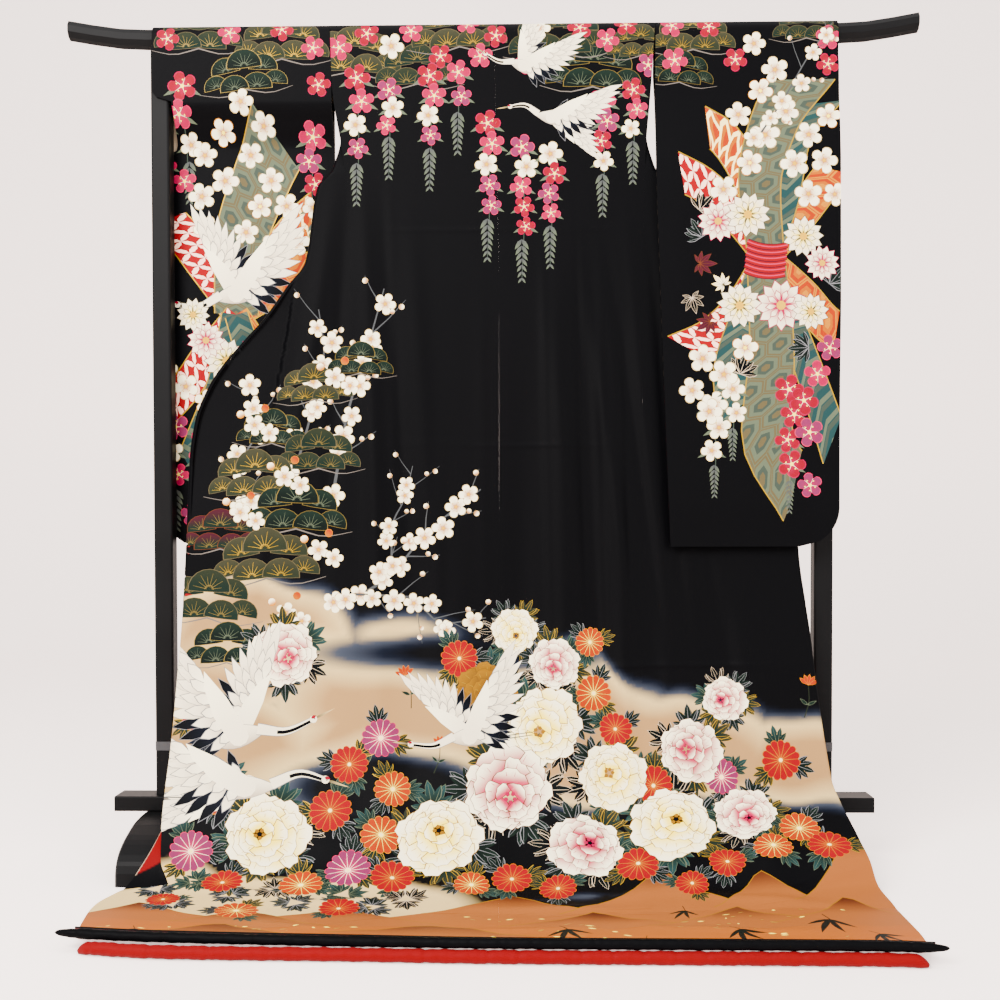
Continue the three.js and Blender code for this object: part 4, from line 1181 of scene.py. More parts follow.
@dataclass(frozen=True)
class Ribbon:
    """One noshi ribbon, a long strip along a path with a woven repeat.

    Attributes:
        points: Its middle line.
        width: Its width at the start.
        brocade: Its repeat.
        ground: The ground ink.
        figure: The ink of the repeat.
        spot: The ink of what sits in the repeat.
        flare: Its last width over its first.
    """

    points: tuple[tuple[float, float], ...]
    width: float
    brocade: Brocade
    ground: Ink
    figure: Ink
    spot: Ink
    flare: float = 1.3

    def draw(self, pen: Pen) -> None:
        """Lays the strip, then its repeat bent along the path."""
        path = smooth_path(self.points, 40)
        length = float(np.linalg.norm(np.diff(path, axis=0), axis=1).sum())
        run = np.gradient(path, axis=0)
        run /= np.linalg.norm(run, axis=1, keepdims=True)
        side = np.stack([-run[:, 1], run[:, 0]], 1)
        at, half = np.linspace(0, length, 40), self.width / 2

        def bent(cells: Array) -> Array:
            """Points of the flat strip as points along the path, widened with its flare."""
            s = cells[:, 0] * (0.91 + 0.09 * cells[:, 1] / half)
            t = cells[:, 1] * mix(1, self.flare, s / length)
            middle = np.stack([np.interp(s, at, path[:, k]) for k in (0, 1)], 1)
            out = np.stack([np.interp(s, at, side[:, k]) for k in (0, 1)], 1)
            return middle + out * t[:, None]

        edge = np.linspace(0, length, 16)
        low_side, high_side = (np.stack([edge, edge * 0 + way * half], 1) for way in (-1, 1))
        pen.fill(bent(np.concatenate([low_side, high_side[::-1]])), Wash(self.ground))
        low, high = np.array([0.5, 0.5 - half]), np.array([length - 0.5, half - 0.5])
        for cell, ink in self.cells(length, half):
            shape = trimmed(cell, low, high)
            if len(shape) > 2:
                pen.fill(bent(shape), Wash(ink))
        for way in (-1, 1):
            pen.line(bent(np.stack([edge, edge * 0 + way * (half + 0.8)], 1)), 2.2, Ink.LEAF_GOLD)

    def cells(self, length: float, half: float) -> list[tuple[Array, Ink]]:
        """The repeat's shapes on the flat strip.

        Args:
            length: The strip's length.
            half: Half its width.

        Returns:
            Each shape with its ink, in order.
        """
        found: list[tuple[Array, Ink]] = []
        if self.brocade is Brocade.HEXAGONS:
            size, cell = 25.0, ring(1, 6)
            for i, s in enumerate(np.arange(0, length + size, size * 1.5)):
                for t in np.arange(-half, half + size, size * 1.732):
                    place = [s, t + size * 0.866 * (i % 2)]
                    found += [
                        (place + cell * size * 0.97, self.figure),
                        (place + cell * size * 0.84, self.ground),
                        (place + cell * size * 0.56, self.spot),
                        (place + cell * size * 0.3, self.figure),
                    ]
        elif self.brocade is Brocade.CIRCLES:
            size, leaf = 32.0, blade(32.0 * 0.7, 32.0 * 0.26, 3)
            for i, s in enumerate(np.arange(0, length + size, size / 2)):
                for t in np.arange(-half, half + size, size):
                    place = [s, t + size / 2 * (i % 2)]
                    for k in range(4):
                        found.append((place + leaf @ rotation(math.pi / 4 * (2 * k + 1)).T, self.figure))
        elif self.brocade is Brocade.WAVES:
            size = 24.0
            for i, s in enumerate(np.arange(length + size, -size, -size * 0.6)):
                for t in np.arange(-half, half + size * 2, size * 2):
                    place = [s, t + size * (i % 2)]
                    for share, ink in ((0.99, self.figure), (0.76, self.ground), (0.45, self.spot)):
                        found.append((place + ring(size * share, 10), ink))
        else:
            size = 14.0
            for i, s in enumerate(np.arange(-half, length, size)):
                if i % 3 == 2:
                    continue
                ink = (self.figure, self.spot)[i % 3]
                bar = [[s + half, -half], [s, 0], [s + half, half]]
                bar += [[s + half + size * 0.8, half], [s + size * 0.8, 0], [s + half + size * 0.8, -half]]
                found.append((np.array(bar, float), ink))
        return found


@dataclass(frozen=True)
class CordCoil:
    """A red cord wound round the ribbons."""

    width: float
    height: float

    def draw(self, pen: Pen) -> None:
        """Lays five turns of cord with darker edges."""
        for k in range(6):
            y = (k - 2.5) * self.height / 6
            t = np.linspace(-1, 1, 9)
            line = np.stack([t * self.width / 2, y + 0.09 * self.width * (1 - t * t)], 1)
            pen.line(line, self.height / 6 * 1.12, Ink.PLUM)
            pen.line(line, self.height / 6 * 0.82, Ink.SCARLET)
            pen.line(line - [0, 0.6], self.height / 6 * 0.2, Ink.PINK)


@dataclass(frozen=True)
class Maple:
    """A seven-pointed maple leaf."""

    length: float
    inks: LeafInks

    def draw(self, pen: Pen) -> None:
        """Lays the points from the outside in."""
        for turn in (2.1, -2.1, 1.4, -1.4, 0.7, -0.7, 0.0):
            size = self.length * (1 - 0.2 * abs(turn))
            point = pen.moved(0, 0, turn)
            wash = Wash(self.inks.near, self.inks.far, (0, 0), (size, 0))
            point.edged(blade(size, size * 0.36, 5, 0.85), wash, self.inks.edge, 0.03 * self.length)
            point.line([(0, 0), (size * 0.8, 0)], 0.025 * self.length, self.inks.edge, 0.4)


@dataclass(frozen=True)
class Bamboo:
    """Four dark bamboo leaves."""

    length: float

    def draw(self, pen: Pen) -> None:
        """Lays the stem and its leaves."""
        pen.line([(-0.3 * self.length, -0.2 * self.length), (0, 0)], 0.03 * self.length, Ink.DEEP)
        for k in range(4):
            leaf = pen.moved(0, 0, 0.1 + k * 0.62)
            size = self.length * (0.75 + 0.25 * ((k * 7) % 3) / 2)
            leaf.fill(blade(size, size * 0.17, 6, 0.7, 0.04 * size), Wash(Ink.DEEP))


@dataclass(frozen=True)
class Sprig:
    """A small orange flower on a thin stem, with two dark leaves."""

    length: float

    def draw(self, pen: Pen) -> None:
        """Lays stem, leaves and the fan of petals."""
        stem = smooth_path([(0, 0), (0.08 * self.length, -0.5 * self.length), (0, -self.length)], 6)
        pen.line(stem, 1.8, Ink.MOSS, 0.6)
        for way in (-1, 1):
            leaf = pen.moved(0.05 * self.length, -0.4 * self.length, -math.pi / 2 + way)
            leaf.edged(blade(0.3 * self.length, 0.1 * self.length), Wash(Ink.PINE), Ink.CELADON, 1)
        for k in range(5):
            petal = pen.moved(0, -self.length, -math.pi / 2 + (k - 2) * 0.5)
            size = 0.34 * self.length
            petal.edged(blade(size, size * 0.36, 5, 1.3), Wash(Ink.ORANGE), Ink.APRICOT, 0.8)


# ---- Grounds: the shaded colour under the motifs ----


def soft_patches(table: Table, x: Array, down: Array) -> Array:
    """How deep each place lies inside the nearest of a table's soft patches, in millimetres.

    Inside a patch the depth is (1 - r) times its shorter half, r being the distance from its
    middle in its own half sizes; outside it is negative.

    Args:
        table: Columns x, down, across and tall.
        x: Places across.
        down: Places down.

    Returns:
        The depths.
    """
    depth = np.full(np.broadcast(x, down).shape, -1e3)
    for px, pd, across, tall in table.values:
        wave = 1 + 0.07 * np.sin(x / 47 + pd) + 0.05 * np.sin(x / 23 + px)
        r = np.sqrt(((x - px) / across) ** 2 + ((down - pd) / (tall * wave)) ** 2)
        depth = np.maximum(depth, (1 - r) * min(across, tall))
    return depth


def ramp(depth: Array, *stops: tuple[float, Ink]) -> Array:
    """The ink at each depth.

    Args:
        depth: Depths of any shape.
        stops: Depths, rising, each with its ink; between them the inks blend.

    Returns:
        Colours as (..., 4).
    """
    places = [s for s, _ in stops]
    colours = np.array([INKS[ink] for _, ink in stops])
    return np.stack([np.interp(depth, places, colours[:, k]) for k in range(4)], -1)


SKIRT_CLOUDS = Table(
    "x down across tall",
    (-450, 1200, 222, 150), (-500, 1400, 220, 130), (-150, 1310, 330, 124), (-175, 1180, 150, 48),
    (0, 1450, 430, 275), (300, 1480, 300, 215), (590, 1480, 190, 165),
)
SKIRT_CUTS = Table(
    "x down across tall",
    (-190, 1470, 130, 46), (-270, 1590, 260, 62), (60, 1610, 380, 95), (420, 1590, 300, 80),
    (-44, 1216, 105, 13),
)
CREAM_PATCHES = Table(
    "x down across tall",
    (-520, 1790, 290, 130), (-330, 1740, 330, 105), (-120, 1830, 300, 85), (-560, 1660, 90, 60),
)


def body_ground(x: Array, down: Array) -> Array:
    """Black above, cloud-shaped shading over the skirt, cream under the left of the train.

    Args:
        x: Places across.
        down: Places down.

    Returns:
        Colours as (..., 4).
    """
    cloud = np.minimum(soft_patches(SKIRT_CLOUDS, x, down), -soft_patches(SKIRT_CUTS, x, down))
    stops = ((0, Ink.BLACK), (8, Ink.NIGHT), (18, Ink.SLATE), (32, Ink.SAND), (64, Ink.BEIGE))
    colour = ramp(cloud, *stops)
    cream = ramp(np.zeros_like(cloud), (0, Ink.SAND))
    share = np.clip(soft_patches(CREAM_PATCHES, x, down) / 16, 0, 1)[..., None]
    return mix(colour, cream, share)


def black_ground(x: Array, down: Array) -> Array:
    """Plain black."""
    return ramp(np.zeros(np.broadcast(x, down).shape), (0, Ink.BLACK))


def body_lining(x: Array, down: Array) -> Array:
    """White to below the hips, red from there to the hem."""
    return ramp(down + 0 * x, (880, Ink.PEARL), (884, Ink.SCARLET))


def sleeve_lining(x: Array, along: Array) -> Array:
    """White, with red towards the bottom."""
    return ramp(np.abs(along) + 0 * x, (700, Ink.PEARL), (704, Ink.SCARLET))


# ---- Designs: which motifs lie where ----

PLUMS = (
    Flower.WHITE_PLUM.value,
    Flower.RED_PLUM.value,
    Flower.ROSE_PLUM.value,
    Flower.MAUVE_PLUM.value,
    Flower.CREAM_PLUM.value,
)
PEONIES = (Flower.CREAM_PEONY.value, Flower.PINK_PEONY.value, Flower.GOLD_PEONY.value)
MUMS = (
    Flower.RED_MUM.value,
    Flower.ORANGE_MUM.value,
    Flower.MAUVE_MUM.value,
    Flower.WHITE_MUM.value,
    Flower.PINK_MUM.value,
)
PINES = (Pine.OLIVE.value, Pine.GREY.value, Pine.GREEN.value, Pine.WINE.value)
LEAVES = (Leaf.DARK.value, Leaf.MOSSY.value, Leaf.TEAL.value, Leaf.BLACK.value)

# Skirt flowers. kind picks from PEONIES or MUMS.
SKIRT_PEONIES = Table(
    "x down radius kind",
    (44, 1176, 44, 0), (118, 1236, 48, 1), (-8, 1290, 58, 2), (98, 1352, 74, 0), (438, 1304, 42, 1),
    (372, 1400, 60, 1), (228, 1448, 66, 0), (30, 1470, 84, 1), (-92, 1566, 80, 0), (330, 1548, 82, 0),
    (466, 1524, 58, 1), (170, 1588, 70, 1), (-392, 1218, 62, 1), (-400, 1560, 78, 0),
)
SKIRT_MUMS = Table(
    "x down radius kind",
    (-60, 1226, 35, 0), (192, 1292, 34, 1), (186, 1196, 28, 1), (300, 1462, 37, 0), (428, 1446, 32, 2),
    (538, 1416, 37, 0), (560, 1560, 38, 1), (606, 1610, 40, 0), (505, 1612, 36, 1), (420, 1640, 34, 0),
    (262, 1636, 38, 0), (232, 1358, 31, 0), (-205, 1374, 36, 2), (-262, 1424, 36, 0), (-180, 1470, 34, 1),
    (-292, 1512, 40, 0), (-196, 1560, 38, 1), (-250, 1630, 42, 2), (-170, 1648, 40, 0), (-330, 1668, 40, 1),
    (-506, 1478, 44, 1), (-536, 1590, 40, 2), (-470, 1668, 38, 0), (40, 1650, 36, 0), (-30, 1668, 32, 1),
    (120, 1680, 33, 0), (-546, 1330, 36, 0), (352, 1690, 30, 0), (-250, 1760, 36, 0), (-420, 1790, 38, 1),
    (-560, 1740, 30, 0),
)
SKIRT_PINES = Table(
    "x down width kind turn",
    (-250, 668, 118, 2, 0.05), (-338, 716, 136, 0, -0.05), (-420, 800, 130, 2, 0.05),
    (-330, 846, 150, 1, 0.0), (-452, 892, 168, 0, -0.04), (-372, 958, 180, 2, 0.04),
    (-518, 1000, 150, 3, 0.0), (-430, 1052, 190, 0, -0.05), (-540, 1128, 180, 1, 0.05),
    (-500, 1216, 150, 2, 0.0),
)
SHOULDER_PINES = Table(
    "x down width kind turn",
    (-262, 84, 170, 0, 0.06), (-140, 112, 150, 1, 0.0), (-60, 40, 170, 0, -0.04), (196, 118, 170, 2, 0.05),
    (130, 52, 180, 1, -0.05), (286, 66, 120, 0, 0.0),
)
SHOULDER_STRANDS = Table(
    "x down length radius first",
    (-258, 100, 178, 24, 1), (-196, 128, 100, 22, 3), (-118, 100, 150, 23, 1), (-64, 90, 92, 22, 2),
    (-8, 190, 196, 23, 1), (58, 236, 190, 22, 3), (112, 250, 150, 22, 0), (212, 150, 152, 23, 2),
    (270, 130, 110, 21, 1),
)
SHOULDER_BLOSSOMS = Table(
    "x down radius kind",
    (-290, 60, 24, 2), (-236, 34, 23, 1), (-190, 58, 24, 0), (-152, 30, 22, 2), (-96, 78, 22, 1),
    (-20, 78, 23, 2), (10, 40, 22, 1), (-44, 14, 22, 2), (70, 90, 23, 2), (92, 26, 22, 0), (170, 26, 23, 1),
    (222, 50, 22, 2), (258, 20, 22, 1), (300, 98, 22, 3),
)
HILLS = Table(
    "left middle right top height ink",
    (-690, -600, -440, 1752, 1830, 0), (-400, -240, -60, 1752, 1830, 1), (-520, -400, -250, 1784, 1850, 0),
    (-110, 40, 190, 1692, 1770, 0), (120, 300, 470, 1650, 1770, 1), (380, 470, 600, 1662, 1760, 0),
    (520, 650, 760, 1588, 1750, 1), (-560, -420, -280, 1856, 1900, 1), (-260, -90, 90, 1830, 1880, 1),
    (20, 180, 330, 1768, 1830, 0), (260, 420, 580, 1760, 1840, 1), (470, 610, 740, 1738, 1830, 0),
)
TRAIN_LEAVES = Table(
    "x down",
    (-585, 1690), (-520, 1664), (-450, 1716), (-372, 1690), (-330, 1742), (-250, 1700), (-196, 1752),
    (-140, 1712), (-540, 1760),
)
BAMBOO_LEAVES = Table(
    "x down length turn",
    (130, 1850, 62, 0.4), (-20, 1905, 48, 0.9), (404, 1862, 58, 0.2), (560, 1820, 66, 0.7),
    (250, 1900, 44, 1.2), (620, 1880, 50, 0.1), (-560, 1890, 44, 0.5), (330, 1770, 44, 0.8),
)
SPRIGS = Table("x down length turn", (-150, 1320, 62, -0.2), (-105, 1440, 54, 0.2), (585, 1338, 62, 0.15))


class Design:
    """Lays the motifs of one cloth on its canvas."""

    def __init__(self) -> None:
        """Makes an empty canvas."""
        self.canvas = Canvas()

    def flowers(self, pen: Pen, table: Table, kinds: Sequence[FlowerInks], shape: type) -> None:
        """Draws a table of flowers of one shape.

        Args:
            pen: Where from.
            table: Columns x, down, radius and kind.
            kinds: The inks that kind picks from.
            shape: The motif's class.
        """
        for i, (x, down, radius, kind) in enumerate(table.values):
            shape(radius, kinds[int(kind)]).draw(pen.moved(x, down, 0.7 * i))

    def pines(self, pen: Pen, table: Table) -> None:
        """Draws a table of pine clouds."""
        for x, down, width, kind, turn in table.values:
            PineCloud(width, PINES[int(kind)]).draw(pen.moved(x, down, turn))

    def strands(self, pen: Pen, table: Table) -> None:
        """Draws a table of hanging sprays."""
        for x, down, length, radius, first in table.values:
            inks = tuple(PLUMS[(int(first) + k * (k + 1) // 2) % 4] for k in range(7))
            HangingSpray(length, radius, inks, 80).draw(pen.moved(x, down))


class BodyDesign(Design):
    """The back, fronts and overlaps, drawn as one cloth that lies flat."""

    def __init__(self) -> None:
        """Draws everything, what lies furthest back first."""
        super().__init__()
        pen = Pen(self.canvas)
        self.hills(pen)
        self.shoulders(pen)
        self.left_boughs(pen)
        self.garden(pen)
        self.cranes(pen)

    def hills(self, pen: Pen) -> None:
        """Rust and orange hills with leaf-gold dust and bamboo along the hem."""
        inks = ((Ink.RUST, Ink.AMBER), (Ink.CLAY, Ink.AMBER))
        base = [(-700, 2000), (-700, 1815), (-440, 1832), (-250, 1836), (-110, 1770), (100, 1764)]
        base += [(420, 1760), (720, 1740), (720, 2000)]
        pen.fill(np.array(base, float), Wash(Ink.AMBER, Ink.TANGERINE, (0, 1760), (0, 2020)))
        for left, middle, right, top, height, ink in HILLS.values:
            t = np.linspace(0, 1, 17)
            x = mix(left, right, t)
            share = np.where(x < middle, (x - left) / (middle - left), (right - x) / (right - middle))
            y = mix(height, top, share**1.3) + 5 * np.sin(x / 17) * share
            outline = np.concatenate([np.stack([x, y], 1), [[mix(left, right, 0.6), height + 20]]])
            near, far = inks[int(ink)]
            pen.fill(outline, Wash(near, far, (middle, top), (middle, top + 62)))
            pen.line(np.stack([x, y], 1), 1.6, Ink.OCHRE)
        chance = np.random.default_rng(3)
        flakes, from_right, from_left, cream_to = 460, 1775, 1850, -60
        for _ in range(flakes):
            x, y = chance.uniform(-640, 690), chance.uniform(1700, 1975)
            drift = math.sin(x / 57) + math.sin(y / 23 + x / 91)
            if y < (from_left if x < cream_to else from_right) or drift < 0:
                continue
            spot = blade(chance.uniform(4, 16), chance.uniform(2.0, 4.4), 3)
            turned = pen.moved(x, y, chance.uniform(-0.5, 0.5))
            turned.fill(spot, Wash(Ink.LEAF_GOLD if chance.random() < 0.4 else Ink.LEMON))
        for x, y, length, turn in BAMBOO_LEAVES.values:
            Bamboo(length).draw(pen.moved(x, y, turn))

    def shoulders(self, pen: Pen) -> None:
        """Pine clouds and weeping plum over the shoulders, back and front."""
        for front, flip in ((-516, False), (520, True)):
            lone = pen.moved(front, 0, 0, 0.9, flip)
            PineCloud(170, PINES[0]).draw(lone.moved(60, 90))
            PineCloud(140, PINES[2]).draw(lone.moved(-20, 130))
            inks = tuple(PLUMS[(1 + k) % 4] for k in range(6))
            HangingSpray(160, 22, inks, 70).draw(lone.moved(70, 130))
        self.pines(pen, SHOULDER_PINES)
        self.strands(pen, SHOULDER_STRANDS)
        self.flowers(pen, SHOULDER_BLOSSOMS, PLUMS, PlumBlossom)

    def left_boughs(self, pen: Pen) -> None:
        """White plum branches among pine clouds down the left side, and one across."""
        plum = Flower.WHITE_PLUM.value
        branches = (
            (((-300, 900), (-275, 760), (-238, 640), (-205, 520)), 6.0, 21, 9),
            (((-372, 860), (-340, 740), (-320, 640), (-330, 560)), 5.0, 20, 8),
            (((-470, 960), (-480, 860), (-440, 770), (-470, 700)), 5.0, 20, 7),
            (((-290, 1130), (-200, 1075), (-120, 985), (-20, 905)), 6.0, 20, 10),
            (((-262, 1105), (-160, 1110), (-90, 1160), (-10, 1150)), 5.0, 19, 8),
            (((-190, 1060), (-190, 980), (-165, 920), (-150, 860)), 4.0, 18, 5),
        )
        for k, (points, width, radius, count) in enumerate(branches):
            PlumBranch(points, width, plum, radius, count, k).draw(pen)
        self.pines(pen, SKIRT_PINES)
        clusters = ((-300, 690), (-395, 880), (-480, 948), (-330, 1020), (-455, 780), (-390, 1140))
        for k, (x, down) in enumerate(clusters):
            PlumBlossom(20, PLUMS[0]).draw(pen.moved(x, down, k))
            PlumBlossom(18, PLUMS[0]).draw(pen.moved(x + 30, down + 16, k + 2))
            Bud(8, PLUMS[4]).draw(pen.moved(x - 24, down - 14, -2.0))
            Bud(8, Flower.ORANGE_MUM.value).draw(pen.moved(x + 16, down - 26, -1.0))

    def garden(self, pen: Pen) -> None:
        """Peonies and chrysanthemums with their leaves over the skirt and train."""
        for i, (x, down, radius, _) in enumerate(SKIRT_PEONIES.values):
            for k in range(6):
                leaf = pen.moved(x, down, k * 1.047 + 0.3 * i).moved(radius * 0.74, 0)
                LeafSpray(radius * 0.62 + 12, LEAVES[(i + k) % 4], 1.3).draw(leaf)
        for i, (x, down, radius, _) in enumerate(SKIRT_MUMS.values):
            for k in range(3):
                leaf = pen.moved(x, down, k * 2.1 + 0.9 * i).moved(radius * 0.7, 0)
                LobedLeaf(radius * 1.1, LEAVES[(i + k) % 3], 5).draw(leaf)
        for i, (x, down) in enumerate(TRAIN_LEAVES.values):
            for k in range(3):
                spray = pen.moved(x, down, 0.8 * i + 2.1 * k).moved(8, 0)
                LeafSpray(40, LEAVES[(0, 2, 0, 3)[i % 4]], 1.4).draw(spray)
        for x, down, length, turn in SPRIGS.values:
            Sprig(length).draw(pen.moved(x, down, turn))
        order = sorted(range(len(SKIRT_MUMS.values)), key=lambda i: SKIRT_MUMS.values[i][1])
        for i in order:
            x, down, radius, kind = SKIRT_MUMS.values[i]
            Chrysanthemum(radius, MUMS[int(kind)]).draw(pen.moved(x, down, 0.7 * i))
        for i, (x, down, radius, kind) in enumerate(SKIRT_PEONIES.values):
            Peony(radius, PEONIES[int(kind)], i).draw(pen.moved(x, down, 0.4 * i))

    def cranes(self, pen: Pen) -> None:
        """Two cranes at the neck, two low on the left and one in the garden."""
        neck = ((0.16, -0.02), (0.4, 0.06), (0.62, 0.02))
        Crane(122, -2.2, -1.2, neck).draw(pen.moved(62, 98, 0.35, 1, True))
        Crane(132, -2.4, 2.5).draw(pen.moved(116, 196, 0.2, 1, True))
        Crane(226, -1.9, -0.9, neck).draw(pen.moved(-470, 1370, -0.25))
        Crane(236, -2.5, 2.6).draw(pen.moved(-450, 1470, -0.05))
        Crane(178, -2.0, -0.7, neck).draw(pen.moved(-40, 1372, -0.1, 1, True))


class SleeveDesign(Design):
    """One sleeve, with its design on both halves."""

    def __init__(self, side: int) -> None:
        """Draws both halves.

        Args:
            side: -1 for the left sleeve, 1 for the right one.
        """
        super().__init__()
        near = Pen(self.canvas, turn=np.diag([float(side), -1.0]))
        far = Pen(self.canvas, turn=np.diag([float(side), 1.0]))
        for pen, full in ((near, True), (far, False)):
            if side > 0:
                self.bundle(pen, full)
            else:
                self.bundle_and_crane(pen, full)

    def ribbons(self, pen: Pen, knot: tuple[float, float], ends: Sequence[tuple]) -> None:
        """Noshi ribbons that pass through one knot.

        Args:
            pen: Where from, x away from the body.
            knot: Where they are tied.
            ends: For each ribbon its repeat, width and the points from the knot outwards.
        """
        inks = {
            Brocade.HEXAGONS: (Ink.CELADON, Ink.BRONZE, Ink.SAGE),
            Brocade.CIRCLES: (Ink.SCARLET, Ink.BLUSH, Ink.YELLOW),
            Brocade.WAVES: (Ink.TANGERINE, Ink.CREAM, Ink.ORANGE),
            Brocade.CHEVRONS: (Ink.TEAL, Ink.CELADON, Ink.SAGE),
        }
        for k, (brocade, width, points) in enumerate(ends):
            ground, figure, spot = inks[brocade]
            if brocade is Brocade.HEXAGONS and width < 60:
                ground, figure, spot = Ink.ORANGE, Ink.APRICOT, Ink.TANGERINE
            Ribbon((knot, *points), width, brocade, ground, figure, spot, 1.5).draw(pen)

    def bundle(self, pen: Pen, full: bool) -> None:
        """The right sleeve: a ribbon bundle under chrysanthemums, plum and maple.

        Args:
            pen: Where from, x away from the body.
            full: False for the half that the wearer's front shows, which has fewer ribbons.
        """
        rows = ((385, 52, 150, 0, 0), (600, 36, 120, 1, 0), (360, 118, 120, 2, 0.1))
        self.pines(pen, Table("x down width kind turn", *rows))
        knot = (520.0, 470.0)
        ends = (
            (Brocade.CIRCLES, 46, ((470, 400), (400, 330), (340, 300))),
            (Brocade.WAVES, 46, ((500, 360), (440, 240), (390, 210))),
            (Brocade.HEXAGONS, 46, ((580, 400), (630, 330), (668, 290))),
            (Brocade.CHEVRONS, 44, ((555, 360), (575, 240), (640, 150))),
            (Brocade.HEXAGONS, 66, ((508, 330), (540, 205), (612, 100))),
            (Brocade.CIRCLES, 46, ((470, 560), (410, 620), (350, 650))),
            (Brocade.HEXAGONS, 46, ((590, 540), (630, 590), (668, 620))),
            (Brocade.CHEVRONS, 50, ((480, 590), (455, 690), (470, 790))),
            (Brocade.CHEVRONS, 40, ((570, 600), (620, 740), (655, 850))),
            (Brocade.HEXAGONS, 70, ((530, 640), (520, 800), (596, 940))),
        )
        self.ribbons(pen, knot, ends if full else ends[1::3])
        maples = (
            (395, 480, 34, Leaf.WINE),
            (380, 545, 32, Leaf.BLACK),
            (415, 590, 32, Leaf.WINE),
            (440, 520, 28, Leaf.IVORY),
        )
        for i, (x, down, length, leaf) in enumerate(maples):
            Maple(length, leaf.value).draw(pen.moved(x, down, 1.3 * i))
        red, white = (*(PLUMS[1],) * 3, PLUMS[2]), (PLUMS[0],)
        strands = ((560, 700, 190, 26, red), (420, 730, 130, 24, white), (455, 700, 90, 22, white))
        for x, down, length, radius, inks in strands:
            HangingSpray(length, radius, inks, 60).draw(pen.moved(x, down))
        for x, down in ((400, 430), (640, 520), (395, 380), (600, 640), (470, 690)):
            LeafSpray(44, LEAVES[(int(x) // 10) % 4]).draw(pen.moved(x, down, x))
        blossoms = Table(
            "x down radius kind",
            (500, 60, 22, 0), (540, 110, 25, 0), (512, 150, 24, 4), (470, 196, 24, 0), (560, 190, 24, 0),
            (520, 236, 28, 0), (602, 236, 25, 0), (640, 200, 24, 4), (574, 292, 27, 0), (630, 286, 25, 0),
            (490, 290, 25, 4), (650, 350, 22, 0), (600, 350, 26, 0), (440, 340, 26, 0), (400, 660, 26, 0),
            (440, 690, 27, 0), (480, 640, 25, 4), (380, 720, 24, 0), (412, 760, 25, 0), (640, 640, 24, 3),
            (350, 90, 24, 2), (415, 26, 22, 1), (465, 90, 22, 1), (640, 50, 23, 2), (640, 100, 21, 1),
            (345, 24, 22, 2), (600, 800, 27, 3), (566, 860, 26, 1), (600, 900, 23, 3), (590, 740, 27, 1),
            (616, 690, 25, 2),
        )
        self.flowers(pen, blossoms, PLUMS, PlumBlossom)
        PlumBranch(((500, 250), (560, 160), (600, 90), (650, 20)), 4, PLUMS[0], 17, 6, 4).draw(pen)
        CordCoil(76, 66).draw(pen.moved(*knot, 0.1))
        mums = Table(
            "x down radius kind",
            (430, 400, 40, 4), (486, 388, 44, 3), (590, 430, 40, 3), (626, 480, 34, 4), (470, 560, 44, 3),
            (548, 560, 50, 4), (604, 572, 36, 3),
        )
        self.flowers(pen, mums, MUMS, Pompon)

    def bundle_and_crane(self, pen: Pen, full: bool) -> None:
        """The left sleeve: pine, weeping plum, a ribbon bundle and a crane.

        Args:
            pen: Where from, x away from the body.
            full: False for the half that the wearer's front shows, which has fewer ribbons.
        """
        rows = ((400, 60, 170, 0, 0), (560, 40, 160, 1, 0), (470, 120, 150, 2, 0.1))
        self.pines(pen, Table("x down width kind turn", *rows))
        knot = (500.0, 560.0)
        ends = (
            (Brocade.WAVES, 46, ((450, 480), (390, 400), (330, 350))),
            (Brocade.CIRCLES, 50, ((560, 470), (610, 400), (660, 360))),
            (Brocade.HEXAGONS, 50, ((440, 520), (380, 480), (310, 470))),
            (Brocade.HEXAGONS, 84, ((490, 420), (450, 300), (400, 190))),
            (Brocade.CIRCLES, 44, ((560, 640), (600, 700), (640, 740))),
            (Brocade.CHEVRONS, 56, ((520, 680), (560, 800), (600, 900))),
            (Brocade.HEXAGONS, 46, ((450, 640), (400, 720), (360, 780))),
            (Brocade.CHEVRONS, 44, ((470, 660), (440, 780), (470, 880))),
        )
        self.ribbons(pen, knot, ends if full else ends[1::3])
        strands = Table(
            "x down length radius first",
            (590, 110, 150, 26, 1), (345, 200, 180, 25, 2), (640, 180, 110, 24, 3), (560, 780, 130, 26, 1),
            (620, 760, 140, 25, 3), (500, 790, 90, 24, 1),
        )
        self.strands(pen, strands)
        blossoms = Table(
            "x down radius kind",
            (440, 200, 24, 0), (480, 160, 24, 0), (520, 210, 24, 4), (560, 250, 24, 0), (470, 250, 25, 0),
            (430, 300, 25, 0), (400, 350, 25, 0), (452, 350, 24, 4), (520, 300, 27, 0), (566, 330, 26, 0),
            (380, 420, 26, 0), (430, 430, 25, 0), (480, 400, 24, 0), (560, 390, 24, 0), (600, 300, 23, 2),
            (400, 24, 22, 1), (500, 30, 22, 2), (620, 40, 22, 1), (340, 60, 22, 2), (330, 130, 23, 1),
            (600, 700, 25, 0), (560, 730, 24, 4), (640, 660, 24, 0), (590, 950, 22, 3),
        )
        self.flowers(pen, blossoms, PLUMS, PlumBlossom)
        neck = ((0.16, -0.02), (0.4, 0.05), (0.6, -0.02))
        Crane(196, -2.3, -1.2, neck, False).draw(pen.moved(500, 520, 0.2))
        rows = ((520, 650, 46, 3), (560, 610, 38, 4), (470, 640, 34, 4), (585, 560, 34, 3))
        self.flowers(pen, Table("x down radius kind", *rows), MUMS, Pompon)


# ---- Panels of cloth ----


KEEP_INSIDE = 1  # the triangulation keeps what lies inside its outlines
TOUCHING = 2e-3  # points closer than this, in millimetres, are one point


